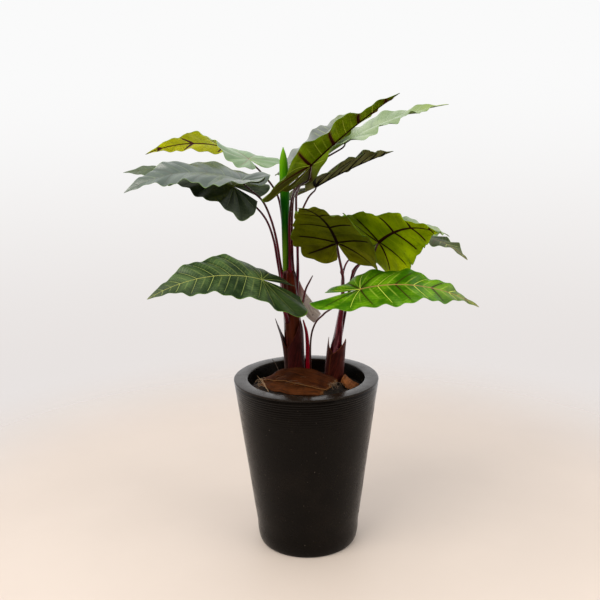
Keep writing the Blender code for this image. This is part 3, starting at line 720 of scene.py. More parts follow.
def grid_normals(grid: np.ndarray) -> np.ndarray:
    """Unit normals of a grid of points."""
    normal = np.cross(np.gradient(grid, axis=0), np.gradient(grid, axis=1))
    return normal / np.maximum(np.linalg.norm(normal, axis=2), 1e-12)[..., None]


def thick_sheet(shape: Shape, grid: np.ndarray, thickness: float, rim: np.ndarray) -> None:
    """Adds a closed sheet whose upper face is the grid.

    Args:
        shape: The mesh it is added to.
        grid: Points in rows along the sheet and columns across it, whose normals point out.
        thickness: How far the hidden face lies behind it.
        rim: How much each point counts as a cut edge, 0 to 1.
    """
    rows, columns = grid.shape[:2]
    behind = grid - grid_normals(grid) * thickness
    run = np.zeros((rows, columns))
    run[1:] = np.cumsum(np.linalg.norm(np.diff(grid, axis=0), axis=2), axis=0)
    width = np.zeros((rows, columns))
    width[:, 1:] = np.cumsum(np.linalg.norm(np.diff(grid, axis=1), axis=2), axis=1)
    number = np.arange(rows * columns).reshape(rows, columns)
    a, b, c, d = number[:-1, :-1], number[1:, :-1], number[1:, 1:], number[:-1, 1:]
    top = np.stack([a, b, c, d], axis=-1).reshape(-1, 4)
    border = np.concatenate([number[:, 0], number[-1, 1:], number[-2::-1, -1], number[0, -2:0:-1]])
    following = np.roll(border, -1)
    size = rows * columns
    walls = np.stack([border, border + size, following + size, following], axis=-1)
    faces = [tuple(f) for f in top.tolist()]
    faces += [tuple(f[::-1]) for f in (top + size).tolist()]
    faces += [tuple(f[::-1]) for f in walls.tolist()]
    both = [np.concatenate([v.ravel(), v.ravel()]) for v in (run, width, rim)]
    under = np.repeat([0.0, 1.0], size)
    shape.add(np.vstack([grid.reshape(-1, 3), behind.reshape(-1, 3)]), faces, run=both[0], width=both[1],
        rim=both[2], under=under)


def turned_faces(rings: int, sides: int) -> list[tuple[int, ...]]:
    """Faces of a turned body: rings of points between a first and a last point on its axis.

    Args:
        rings: How many rings it has.
        sides: Points in each ring.

    Returns:
        The faces.
    """
    faces, last = [], 1 + (rings - 1) * sides
    for j in range(sides):
        k = (j + 1) % sides
        faces.append((0, 1 + j, 1 + k))
        for base in range(1, last, sides):
            faces.append((base + j, base + sides + j, base + sides + k, base + k))
        faces.append((last + j, last + sides, last + k))
    return faces


def ripples(seed: int, count: int, rough: float) -> Callable[[np.ndarray], np.ndarray]:
    """A smooth wandering function of one number, from -1 to 1, the same on every run.

    Args:
        seed: Chooses the function.
        count: How many waves it is made of.
        rough: How much of the shorter waves it keeps.

    Returns:
        The function.
    """
    dice = np.random.default_rng(seed)
    rates = dice.uniform(0.6, 1.4, count) * np.arange(1, count + 1)
    phases = dice.uniform(0, 2 * pi, count)
    sizes = rough ** np.arange(count)
    sizes /= sizes.sum()

    def read(x: np.ndarray) -> np.ndarray:
        """The function's value at each x."""
        return sum(s * np.sin(2 * pi * r * np.asarray(x) + p) for s, r, p in zip(sizes, rates, phases))

    return read


# Leaf blades


def ease(t: np.ndarray) -> np.ndarray:
    """0 up to 0 and 1 from 1, smooth between."""
    t = np.clip(t, 0.0, 1.0)
    return t * t * (3 - 2 * t)


class Hand(Enum):
    """The half of a blade, seen from above with its tip ahead."""

    LEFT = 1
    RIGHT = -1


FRONT_RIBS = 7
LOBE_RIBS = 3.4
RIB_ANGLES = (64.0, 38.0, 170.0)  # at the hub, at the tip, at the inner edge of a lobe
RIB_LENGTH = 0.36
LOBE_SHARES = (0.0, 0.33, 0.72, 1.0)
LOBE_LENGTHS = (0.36, 0.355, 0.45, 0.36)
RIB_BOW = 0.10
TIP_TAPER = 0.40
FULL_RIB = 0.16
RIPPLE = 0.0025
WAVE = 0.0065
WAVE_RIBS = 2.6
CURL_SPAN = 0.3
BLADE_THICKNESS = 0.0008
STALK_LEAN = 62.0  # greatest angle of a stalk's end from the blade's normal
STALK_END = 0.012  # its last stretch under the blade


@dataclass(frozen=True)
class Blade:
    """A leaf blade's size and pose. Angles are in degrees, and pairs are (left, right) of the midrib."""

    name: str
    hub: Point
    heading: float
    rise: float
    droop: float
    roll: float
    sweep: float
    twist: float
    back: float
    fold: tuple[float, float]
    curl: tuple[float, float]
    sag: tuple[float, float]
    length: float
    breadth: float
    lobe: tuple[float, float]
    phase: float
    slot: str
    hook: tuple[float, float] = (0.0, 0.0)
    scallop: float = 0.05
    wave: float = 1.0
    bold: int = 2  # 1 where every side rib is bold, 2 where every second one is
    offsets: tuple[float, ...] = (0.0, 0.02, 0.045, 0.085, 0.14, 0.22, 0.31, 0.41)
    shares: tuple[float, ...] = (0.012, 0.03, 0.06, 0.11, 0.17, 0.24, 0.32, 0.40, 0.49, 0.58, 0.67, 0.75,
        0.83, 0.90, 0.95, 0.98, 1.0)
    mid_ridge: tuple[float, float] = (0.0022, 0.0024)  # height and half-width at the hub
    bold_ridge: tuple[float, float] = (0.0010, 0.0016)
    faint_ridge: tuple[float, float] = (0.0005, 0.0009)
    groove: float = 0.0004
    last_rib: float = 6.93

    def ribs(self, psi: np.ndarray, side: int) -> tuple[np.ndarray, np.ndarray, np.ndarray, np.ndarray]:
        """Where the side ribs start and how they run.

        Args:
            psi: Rib numbers: 0 at the hub, FRONT_RIBS at the tip, -LOBE_RIBS at a lobe's inner edge.
            side: 0 for the left half, 1 for the right half.

        Returns:
            The share along the midrib, the angle, the length and the share into the lobe.
        """
        c = np.clip(psi / FRONT_RIBS, 0, 1)
        f = np.clip(-psi / LOBE_RIBS, 0, 1)
        hub, tip, inner = RIB_ANGLES
        angle = np.where(psi >= 0, hub + (tip - hub) * c, hub + (inner - hub) * f)
        i = np.clip(np.searchsorted(LOBE_SHARES, f) - 1, 0, len(LOBE_SHARES) - 2)
        marks, lengths = np.array(LOBE_SHARES), np.array(LOBE_LENGTHS)
        t = ease((f - marks[i]) / (marks[i + 1] - marks[i]))
        reach = self.breadth + (self.lobe[side] - self.breadth) * f
        lobe = (lengths[i] + (lengths[i + 1] - lengths[i]) * t) * reach
        front = RIB_LENGTH * self.breadth * (1 - c) ** 0.8 * (1 - TIP_TAPER * ease(2 * c - 1))
        length = np.where(psi >= 0, front, lobe)
        return c, np.radians(angle), length * (1 + self.scallop * (np.abs(np.cos(pi * psi)) - 0.64)), f

    def spine(self) -> tuple[np.ndarray, np.ndarray, np.ndarray, np.ndarray]:
        """The midrib, carried on behind the hub.

        Returns:
            Shares of the length, and the points, the direction across and the direction out at each.
        """
        u = np.linspace(-0.8, 1.3, 211)
        rise = radians(self.rise) - np.where(u >= 0, radians(self.droop), radians(self.back)) * u
        heading = radians(self.heading) + radians(self.sweep) * u
        roll = radians(self.roll) + radians(self.twist) * u
        run = np.stack([np.cos(rise) * np.cos(heading), np.cos(rise) * np.sin(heading), np.sin(rise)],
            axis=-1)
        level = np.stack([-np.sin(heading), np.cos(heading), 0 * heading], axis=-1)
        up = np.cross(run, level)
        across = level * np.cos(roll)[:, None] + up * np.sin(roll)[:, None]
        out = up * np.cos(roll)[:, None] - level * np.sin(roll)[:, None]
        walked = np.vstack([[0, 0, 0], np.cumsum((run[1:] + run[:-1]) / 2 * (u[1] - u[0]), axis=0)])
        start = np.array([np.interp(0.0, u, walked[:, k]) for k in range(3)])
        return u, walked - start, across, out

    def normal(self) -> np.ndarray:
        """The direction out of the blade at its hub."""
        u, _, _, out = self.spine()
        return np.array([np.interp(0.0, u, out[:, k]) for k in range(3)])

    def arrival(self, last: Point) -> list[np.ndarray]:
        """The last two points of a stalk that comes from the underside.

        Args:
            last: The stalk's point before them.

        Returns:
            A point a little before the hub, and the end under the hub.
        """
        normal = self.normal()
        way = np.array(self.hub) - np.array(last)
        level = way - normal * way.dot(normal)
        level /= np.linalg.norm(level)
        lean = min(max(atan2(way.dot(level), way.dot(normal)), 0.0), radians(STALK_LEAN))
        seat = np.array(self.hub) - normal * 0.0016
        return [seat - (normal * cos(lean) + level * sin(lean)) * STALK_END, seat]

    def spots(self, psi: np.ndarray, e: np.ndarray, hand: Hand) -> tuple[np.ndarray, np.ndarray]:
        """Points of the blade's middle sheet.

        Args:
            psi: Rib numbers.
            e: Shares along the ribs.
            hand: The half of the blade.

        Returns:
            The points, and how far each is from the midrib in metres.
        """
        side = 0 if hand is Hand.LEFT else 1
        c, angle, length, f = self.ribs(psi, side)
        bow = RIB_BOW * e * (1 - e)
        along = c + length * (e * np.cos(angle) - bow * np.sin(angle))
        v = length * (e * np.sin(angle) + bow * np.cos(angle))
        start = np.radians(self.fold[side] + self.sag[side] * f)
        bend = np.radians(self.curl[side] + self.hook[side] * f) / CURL_SPAN
        bend = np.where(np.abs(bend) < 0.001, 0.001, bend)
        wide = (np.sin(start + bend * v) - np.sin(start)) / bend
        high = (np.cos(start) - np.cos(start + bend * v)) / bend
        u, line, across, out = self.spine()

        def read(table: np.ndarray) -> np.ndarray:
            """The table's rows at each share along the midrib."""
            return np.stack([np.interp(along, u, table[:, k]) for k in range(3)], axis=-1)

        outward = read(out)
        spot = read(line) + read(across) * (hand.value * wide)[..., None]
        swell = -RIPPLE * np.cos(2 * pi * psi) * e**1.5
        swell = swell + WAVE * self.wave * np.sin(2 * pi * psi / WAVE_RIBS + self.phase + hand.value) * e * e
        swell = swell * np.minimum(1.0, length / FULL_RIB)
        waves = outward * swell[..., None]
        points = np.array(self.hub) + self.length * (spot + outward * high[..., None]) + waves
        return points, np.abs(v) * self.length

    def stations(self) -> np.ndarray:
        """Rows of the mesh, closer together near each rib.

        Returns:
            The rib number of each row.
        """
        found = {-LOBE_RIBS, self.last_rib}
        for k in range(-3, FRONT_RIBS + 1):
            for offset in self.offsets:
                found |= {round(k + offset, 4), round(k - offset, 4)}
            found.add(k + 0.5)
        return np.array(sorted(p for p in found if -LOBE_RIBS <= p <= self.last_rib))

    def half(self, hand: Hand) -> tuple[np.ndarray, Attributes]:
        """Points and stored numbers of one half, without the midrib.

        Args:
            hand: The half of the blade.

        Returns:
            A grid of points, by station and share, and the numbers stored on it.
        """
        psi, e = np.meshgrid(self.stations(), np.array(self.shares), indexing="ij")
        last = -LOBE_RIBS + 1.0
        points, v = self.spots(psi, e, hand)
        nearest = np.round(psi)
        rib, _ = self.spots(nearest, e, hand)
        ahead, _ = self.spots(nearest, e + 0.01, hand)
        way = ahead - rib
        way /= np.linalg.norm(way, axis=2)[..., None] + 1e-12
        chord = points - rib
        chord -= way * np.sum(chord * way, axis=2)[..., None]
        vein = np.linalg.norm(chord, axis=2)
        mid = np.where(psi >= 0, v, np.linalg.norm(points - np.array(self.hub), axis=2))
        stored = {
            "vein": np.minimum(vein * 1000, 25.0),
            "mid": np.minimum(mid * 1000, 25.0),
            "strong": ((nearest % self.bold == 0) & (nearest >= last)).astype(float),
            "between": np.abs(psi - nearest),
            "edge": e,
            "tipward": np.clip(psi / FRONT_RIBS, 0, 1),
            "lobed": np.clip(-psi / LOBE_RIBS, 0, 1),
        }
        return points, stored

    def build(self, finish: LeafFinish) -> None:
        """Makes the blade with both faces, its margin and its ridges, and dresses it.

        Args:
            finish: Its colours and veins.
        """
        stations = self.stations()
        count, across = len(stations), len(self.shares)
        halves = {hand: self.half(hand) for hand in Hand}
        front = stations >= 0
        ridge_c = np.clip(stations[front], 0, None)
        middle, _ = self.spots(ridge_c, np.zeros_like(ridge_c), Hand.LEFT)
        tip, _ = self.spots(np.array([float(FRONT_RIBS)]), np.zeros(1), Hand.LEFT)
        nearest = np.abs(ridge_c - np.round(ridge_c))
        mid_stored = {
            "vein": np.minimum(nearest * self.length / FRONT_RIBS * 850, 25.0),
            "mid": np.zeros(len(ridge_c)),
            "strong": (np.round(ridge_c) % self.bold == 0).astype(float),
            "between": nearest,
            "edge": np.zeros(len(ridge_c)),
            "tipward": ridge_c / FRONT_RIBS,
            "lobed": np.zeros(len(ridge_c)),
        }
        tip_stored = {"vein": 5.0, "mid": 0.0, "strong": 1.0, "between": 0.0, "edge": 0.5, "tipward": 1.0,
            "lobed": 0.0}
        points = np.vstack([middle, tip] + [halves[hand][0].reshape(-1, 3) for hand in Hand])
        stored = {}
        for key in mid_stored:
            parts = [mid_stored[key], [tip_stored[key]]] + [halves[hand][1][key].ravel() for hand in Hand]
            stored[key] = np.concatenate(parts)

        tip_at = len(middle)
        first_front = count - len(middle)
        faces, loops = [], []
        for turn, hand in enumerate(Hand):
            base = tip_at + 1 + turn * count * across
            spot = base + np.arange(count * across).reshape(count, across)
            inner = np.array([max(i - first_front, 0) for i in range(count)])
            half = []
            for i in range(count - 1):
                a, b = inner[i], inner[i + 1]
                half.append((a, spot[i, 0], spot[i + 1, 0]) if a == b else (a, spot[i, 0], spot[i + 1, 0], b))
                half += [
                    (spot[i, k], spot[i, k + 1], spot[i + 1, k + 1], spot[i + 1, k])
                    for k in range(across - 1)]
            last = [inner[-1], *spot[-1]]
            half += [(last[k], last[k + 1], tip_at) for k in range(across)]
            faces += [f if hand is Hand.RIGHT else f[::-1] for f in half]
            loops.append([*spot[0], *spot[1:, -1]])
        border = [0, *loops[0], tip_at, *loops[1][::-1]]
        closed = self._close(points, faces, border, stored)
        closed.piece(self.name, finish.material(), self.slot, (self.name,), sharp=50.0)

    def _close(
        self, points: np.ndarray, faces: list[tuple[int, ...]], border: list[int], stored: Attributes
    ) -> Shape:
        """Turns the middle sheet into a closed blade.

        Args:
            points: Points of the middle sheet.
            faces: Its faces, which wind so that their normals point out of the upper side.
            border: Its margin, from the hub round the left half to the tip and back round the right.
            stored: Numbers stored on its points.

        Returns:
            The closed mesh.
        """
        normals = np.zeros_like(points)
        for size in (3, 4):
            some = np.array([f for f in faces if len(f) == size])
            if len(some):
                corner = points[some]
                face_normal = np.cross(corner[:, 1] - corner[:, 0], corner[:, 2] - corner[:, 0])
                if size == 4:
                    face_normal += np.cross(corner[:, 2] - corner[:, 0], corner[:, 3] - corner[:, 0])
                for k in range(size):
                    np.add.at(normals, some[:, k], face_normal)
        normals /= np.maximum(np.linalg.norm(normals, axis=1), 1e-15)[:, None]
        if np.dot(normals[0], self.normal()) < 0:
            normals = -normals
            faces = [f[::-1] for f in faces]

        edge, strong = stored["edge"], stored["strong"] > 0.5
        open_share = np.clip((0.93 - edge) / 0.2, 0, 1) * np.clip((1.0 - stored["tipward"]) / 0.06, 0, 1)
        taper = 1 - 0.45 * edge

        def bulge(distance: np.ndarray, size: tuple[float, float], thin: np.ndarray) -> np.ndarray:
            """Height of a rounded ridge at a distance in millimetres from its middle."""
            return size[0] * thin * np.exp(-((distance / 1000 / (size[1] * thin)) ** 2))

        mid = bulge(stored["mid"], self.mid_ridge, 1 - 0.75 * stored["tipward"])
        bold, faint = (bulge(stored["vein"], size, taper) for size in (self.bold_ridge, self.faint_ridge))
        side = np.where(strong, bold, faint)
        ridge = np.maximum(mid, side * open_share) * np.clip((1.0 - edge) / 0.05, 0, 1)
        mid_dent = np.exp(-((stored["mid"] / 1.4) ** 2))
        side_dent = np.exp(-((stored["vein"] / 1.0) ** 2)) * open_share * 0.7
        dent = self.groove * np.maximum(mid_dent, side_dent)
        skin = BLADE_THICKNESS / 2 * (1 - 0.3 * edge)
        upper = points + normals * (skin - dent)[:, None]
        lower = points - normals * (skin + ridge)[:, None]

        size = len(points)
        loop = np.array(border)
        following = np.roll(loop, -1)
        walls = np.stack([loop, following, following + size, loop + size], axis=-1)
        closed = list(faces) + [tuple(i + size for i in f[::-1]) for f in faces]
        closed += [tuple(f) for f in self._facing_out(walls, faces)]
        shape = Shape()
        doubled = {key: np.concatenate([values, values]) for key, values in stored.items()}
        closed = [tuple(int(i) for i in f) for f in closed]
        shape.add(np.vstack([upper, lower]), closed, under=np.repeat([0.0, 1.0], size), **doubled)
        return shape

    @staticmethod
    def _facing_out(walls: np.ndarray, faces: list[tuple[int, ...]]) -> np.ndarray:
        """Winds the margin's faces to match the upper side.

        Args:
            walls: The margin's faces.
            faces: Faces of the upper side, one of which shares the first border edge.

        Returns:
            The margin's faces.
        """
        a, b = walls[0][0], walls[0][1]
        for face in faces:
            for k in range(len(face)):
                if (face[k], face[(k + 1) % len(face)]) == (a, b):
                    return walls[:, ::-1]
        return walls


# The thirteen blades, in the poses of the solids
BLADES = (
    Blade(
        "leaf_left_top", (-0.139, 0.080, 1.005), 135, 27, 49, -8, 72, 53, 13, (12, 2), (2, -28), (21, 29),
        0.300, 0.90, (0.45, 0.45), 0.3, "leaf_pale", hook=(0.0, -60.0), wave=0.7),
    Blade(
        "leaf_left_back", (-0.149, -0.060, 0.963), 178, 21, 50, -10, 30, -24, -19, (13, 13), (-22, -37),
        (41, 27), 0.290, 1.01, (0.42, 0.42), 1.1, "leaf_grey"),
    Blade(
        "leaf_left_front", (-0.176, 0.030, 0.941), 180, 26, 36, -22, 1, -13, 30, (-9, -9), (6, -33),
        (-24, 49), 0.280, 0.97, (0.73, 0.73), 2.0, "leaf_grey"),
    Blade(
        "leaf_left_low", (-0.103, -0.130, 0.735), 209, 20, 46, -27, -4, -2, 13, (-3, 9), (9, -27),
        (-12, 11), 0.290, 1.02, (1.06, 1.06), 0.7, "leaf_dark", hook=(0.0, -72.0), scallop=0.03, wave=0.8),
    Blade(
        "leaf_top_back", (-0.001, 0.060, 1.002), 51, 36, 24, -11, 14, 10, 16, (6, 18), (-28, -4), (10, 1),
        0.282, 0.95, (0.50, 0.50), 0.0, "leaf_grey"),
    Blade(
        "leaf_top_front", (0.016, -0.120, 1.000), -34, 40, 12, -1, -7, -3, -17, (24, 17), (-6, -24),
        (-27, -22), 0.285, 1.02, (1.16, 1.16), 1.6, "leaf_olive"),
    Blade(
        "leaf_top_right", (0.107, 0.090, 1.041), 30, 28, 20, -7, -33, 23, -11, (12, 13), (-15, -21),
        (0, 14), 0.301, 0.98, (0.84, 0.84), 0.9, "leaf_pale"),
    Blade(
        "leaf_right_upper", (0.032, 0.090, 0.931), 49, 16, 3, -25, -14, -6, 3, (16, 21), (-11, -23),
        (-6, 13), 0.308, 1.03, (0.45, 0.45), 2.3, "leaf_olive", scallop=0.08, bold=1),
    Blade(
        "leaf_second_front", (0.079, -0.060, 0.809), -106, 38, 29, -1, -9, 10, -13, (5, 6), (-35, -13),
        (-4, -6), 0.296, 1.07, (0.94, 0.94), 0.4, "leaf_olive"),
    Blade(
        "leaf_second_right", (0.175, -0.120, 0.819), -69, 29, 34, -44, 0, 7, -43, (-4, 1), (-31, -15),
        (26, 39), 0.288, 1.02, (1.09, 1.09), 1.3, "leaf_yellow"),
    Blade(
        "leaf_low_right", (0.124, -0.220, 0.728), -17, 17, 51, 13, 25, 6, 17, (5, -2), (-13, -7),
        (15, 23), 0.282, 1.02, (0.92, 0.92), 2.6, "leaf_bright", hook=(-22.0, 0.0), scallop=0.035,
        wave=0.8),
    Blade(
        "leaf_second_back", (0.218, 0.020, 0.799), -49, 21, 46, -5, -15, -2, 25, (3, 5), (-17, -16),
        (0, 0), 0.280, 1.01, (1.00, 1.00), 1.9, "leaf_dark"),
    Blade(
        "leaf_second_far", (0.224, 0.230, 0.779), 42, 15, 44, 11, 1, 10, 17, (6, 2), (-18, -16), (0, 0),
        0.305, 1.00, (1.00, 1.00), 0.2, "leaf_pale"),
)


def leaf_finishes() -> dict[str, LeafFinish]:
    """Gives each leaf its finish.

    Returns:
        The finishes, by the leaf's name.
    """
    pale_vein, tan_vein, maroon = tone(156, 172, 96), tone(150, 118, 78), tone(52, 20, 18)
    return {
        # Its underside colours are partly the paler underside and partly painted light shining through the
        # blade.
        "leaf_left_top": LeafFinish(
            "left_top", tone(124, 150, 112), tone(102, 132, 90), tone(140, 160, 50), tone(120, 96, 88),
            tone(128, 110, 92), tone(150, 172, 120), tone(238, 248, 6), tone(208, 222, 4),
            low_strong=tone(84, 14, 5), low_weak=tone(190, 200, 40), low_width=4.2, gloss=0.8),
        "leaf_left_back": LeafFinish(
            "left_back", tone(88, 100, 92), tone(56, 72, 62), tone(90, 104, 90), tone(92, 96, 84),
            tone(70, 72, 60), tone(110, 124, 92), tone(34, 50, 2), tone(20, 32, 1),
            low_weak=tone(84, 100, 24), gloss=1.0, roughness=0.36),
        "leaf_left_front": LeafFinish(
            "left_front", tone(84, 94, 76), tone(50, 64, 44), tone(92, 106, 84), tone(86, 92, 60),
            tone(70, 76, 48), tone(116, 130, 84), tone(40, 56, 4), tone(24, 36, 2),
            low_weak=tone(90, 104, 30), gloss=0.3, roughness=0.38),
        "leaf_left_low": LeafFinish(
            "left_low", tone(74, 98, 54), tone(24, 44, 13), tone(58, 74, 42), tone(166, 168, 88),
            tone(140, 152, 78), tone(142, 156, 82), tone(44, 60, 12), tone(30, 42, 8), top_width=0.85,
            weak_width=0.7, gloss=0.3, groove_shade=0.8, lobe=tone(34, 52, 18), lobe_share=0.6),
        "leaf_top_back": LeafFinish(
            "top_back", tone(92, 100, 90), tone(70, 80, 70), tone(120, 140, 60), tone(104, 108, 88),
            tone(90, 96, 76), pale_vein, tone(90, 108, 6), tone(66, 84, 4), gloss=1.0),
        "leaf_top_front": LeafFinish(
            "top_front", tone(84, 108, 34), tone(60, 82, 18), tone(110, 128, 60), tone(96, 90, 60),
            tone(80, 76, 52), pale_vein, tone(120, 146, 3), tone(86, 106, 1), low_strong=tone(54, 14, 6),
            low_weak=tone(180, 192, 60), weak_width=0.9, low_width=3.6, halo=tone(90, 56, 4),
            halo_share=0.85, lobe=tone(58, 36, 16), lobe_share=0.75, gloss=0.12),
        "leaf_top_right": LeafFinish(
            "top_right", tone(138, 158, 112), tone(104, 132, 78), tone(150, 170, 66), tone(110, 120, 84),
            tone(100, 116, 80), tone(150, 172, 120), tone(120, 144, 14), tone(60, 90, 8), gloss=1.0),
        "leaf_right_upper": LeafFinish(
            "right_upper", tone(112, 110, 78), tone(80, 82, 48), tone(120, 120, 78), tone(24, 18, 12),
            tone(14, 10, 6), tone(120, 120, 86), tone(108, 104, 60), tone(74, 72, 34),
            low_strong=tone(14, 8, 4), low_weak=tone(130, 126, 80), low_width=5.0, top_width=5.0,
            gloss=0.12),
        "leaf_second_front": LeafFinish(
            "second_front", tone(92, 106, 40), tone(66, 80, 26), tone(110, 120, 50), tan_vein, maroon,
            pale_vein, tone(124, 130, 10), tone(86, 90, 6), low_strong=tone(30, 8, 6),
            low_weak=tone(128, 140, 20), low_width=4.0, weak_width=0.8, gloss=0.1),
        # Its underside colours are partly the paler underside and partly painted light shining through the
        # blade.
        "leaf_second_right": LeafFinish(
            "second_right", tone(92, 126, 24), tone(66, 100, 10), tone(120, 140, 30), tan_vein, maroon,
            pale_vein, tone(172, 196, 2), tone(128, 152, 1), low_strong=tone(44, 8, 6),
            low_weak=tone(168, 180, 20), low_width=3.9, weak_width=0.8, gloss=0.1),
        "leaf_low_right": LeafFinish(
            "low_right", tone(102, 156, 2), tone(46, 94, 1), tone(98, 106, 34), tone(158, 124, 74),
            tone(50, 34, 12), tone(196, 212, 84), tone(140, 146, 14), tone(110, 116, 8), top_width=1.9,
            weak_width=0.85, roughness=0.34, gloss=0.35),
        "leaf_second_back": LeafFinish(
            "second_back", tone(52, 64, 26), tone(38, 50, 18), tone(92, 100, 60), tan_vein,
            tone(72, 60, 46), pale_vein, tone(80, 90, 14), tone(58, 66, 8), gloss=0.25),
        "leaf_second_far": LeafFinish(
            "second_far", tone(136, 158, 112), tone(110, 134, 82), tone(150, 168, 110), tan_vein,
            tone(120, 112, 84), pale_vein, tone(120, 138, 30), tone(90, 108, 14), gloss=0.5),
    }


# Pot, soil and husk


@dataclass(frozen=True)
class Pot:
    """The turned pot, with ridges that fade out below its rim."""

    height: float = 0.450
    rim_radius: float = 0.1880
    mouth_radius: float = 0.152
    foot_radius: float = 0.1245
    shoulder_radius: float = 0.1355
    foot_height: float = 0.052
    cavity_floor: float = 0.030
    cavity_radius: float = 0.104
    rim_edge: float = 0.003
    groove_drop: float = 0.0062
    groove_depth: float = 0.0018
    ridge_pitch: float = 0.0062
    ridge_height: float = 0.00045
    ridge_reach: float = 0.10
    wobble: float = 0.0003
    wobble_from: float = 0.02
    wobble_to: float = 0.43
    segments: int = 160
    finish: PotFinish = PotFinish()

    def wall(self, z: float) -> float:
        """Outer radius, with the turned ridges.

        Args:
            z: Height above the floor.

        Returns:
            The radius.
        """
        if z < self.foot_height:
            rounding = sqrt(max(0.0, 1 - (1 - z / self.foot_height) ** 2))
            return self.foot_radius + (self.shoulder_radius - self.foot_radius) * rounding
        share = (z - self.foot_height) / (self.height - self.foot_height)
        down = self.height - self.groove_drop - z
        fade = max(0.0, 1 - down / self.ridge_reach) ** 1.5
        ridges = self.ridge_height * fade * cos(2 * pi * down / self.ridge_pitch)
        plain = self.shoulder_radius + (self.rim_radius - self.shoulder_radius) * share
        return plain + (ridges if down > 0 else 0.0)

    def profile(self) -> list[tuple[float, float]]:
        """The outline that is turned round the pot's axis.

        Returns:
            (radius, height) from the middle of the cavity's floor, over the rim, to the middle of the base.
        """
        lip = [0.25 * pi * k / 2 for k in range(5)]
        groove = self.height - self.groove_drop
        edge = self.rim_edge
        rows = [
            (0.0, self.cavity_floor), (self.cavity_radius, self.cavity_floor),
            (self.mouth_radius, self.height - edge)]
        rows += [
            (self.mouth_radius + edge * (1 - cos(a)), self.height - edge * (1 - sin(a))) for a in lip[1:]]
        rows += [(self.rim_radius - edge * (1 - sin(a)), self.height - edge * (1 - cos(a))) for a in lip]
        rows += [
            (self.wall(groove + 0.002), groove + 0.002),
            (self.wall(groove) - self.groove_depth, groove + 0.0005)]
        rows += [(self.wall(groove) - self.groove_depth, groove - 0.0008)]
        below = np.linspace(groove - 0.0025, groove - self.ridge_reach, 126)
        rows += [(self.wall(z), z) for z in below]
        rows += [(self.wall(z), z) for z in np.linspace(below[-1] - 0.02, self.foot_height, 12)]
        rows += [(self.wall(self.foot_height * s), self.foot_height * s) for s in (0.8, 0.6, 0.42, 0.27, 0.15,
            0.07, 0.02)]
        return rows + [(self.foot_radius, 0.0), (0.0, 0.0)]

    def build(self) -> None:
        """Makes the pot and dresses it."""
        rows = self.profile()
        uneven = ripples(3, 5, 0.7)
        turn = np.linspace(0, 2 * pi, self.segments, endpoint=False)
        points = [(0.0, 0.0, rows[0][1])]
        for r, z in rows[1:-1]:
            free = 1 if self.wobble_from < z < self.wobble_to else 0
            shifts = self.wobble * uneven(turn / (2 * pi) * 3 + z * 9) * free
            points += [((r + s) * cos(a), (r + s) * sin(a), z) for a, s in zip(turn, shifts)]
        points.append((0.0, 0.0, 0.0))
        shape = Shape()
        shape.add(np.array(points), turned_faces(len(rows) - 2, self.segments))
        shape.piece("pot_shell", self.finish.material(), "pot_black", ("pot",), sharp=60.0)


@dataclass(frozen=True)
class Soil:
    """Crumbly soil with a mound in front of the main stem."""

    level: float = 0.415
    bottom: float = 0.0303
    mound: float = 0.055
    middle: tuple[float, float] = (-0.020, -0.045)
    reach_side: float = 0.125
    reach_front: float = 0.120
    reach_back: float = 0.055
    clods: float = 0.0035
    rings: int = 56
    spokes: int = 128
    pot: Pot = Pot()
    finish: SoilFinish = SoilFinish()

    def ground(self, x: float, y: float) -> float:
        """Height of the soil's surface.

        Args:
            x: Place to the right.
            y: Place to the back.

        Returns:
            The height above the floor.
        """
        reach = self.reach_front if y < self.middle[1] else self.reach_back
        away = ((x - self.middle[0]) / self.reach_side) ** 2 + ((y - self.middle[1]) / reach) ** 2
        return self.level + self.mound * exp(-away)

    def inside(self, z: float) -> float:
        """Radius of the pot's cavity, less a hair.

        Args:
            z: Height above the floor.

        Returns:
            The radius.
        """
        pot = self.pot
        share = (z - pot.cavity_floor) / (pot.height - pot.cavity_floor)
        return pot.cavity_radius + (pot.mouth_radius - pot.cavity_radius) * share - 0.0004

    def build(self) -> None:
        """Makes the soil and dresses it."""
        dice = np.random.default_rng(11)
        lumps = dice.uniform(0, 1, (self.rings + 1, self.spokes))
        lumps = (lumps + np.roll(lumps, 1, axis=1) + np.roll(lumps, 1, axis=0)) / 3 - 0.5
        points = [(0.0, 0.0, self.ground(0, 0))]
        for i in range(1, self.rings + 1):
            share = i / self.rings
            for j in range(self.spokes):
                a = 2 * pi * j / self.spokes
                r = self.inside(self.level) * share
                x, y = r * cos(a), r * sin(a)
                z = self.ground(x, y)
                r = min(r * 1.02, self.inside(z)) if share > 0.97 else r
                rough = self.clods * lumps[i, j] * 2 * min(1.0, (1 - share) * 12)
                points.append((r * cos(a), r * sin(a), z + rough))
        r = self.inside(self.bottom)
        turns = [2 * pi * j / self.spokes for j in range(self.spokes)]
        points += [(r * cos(a), r * sin(a), self.bottom) for a in turns]
        points.append((0.0, 0.0, self.bottom))
        shape = Shape()
        shape.add(np.array(points), turned_faces(self.rings + 1, self.spokes))
        shape.piece("soil_top", self.finish.material(), "soil_dark", ("soil",), sharp=60.0)


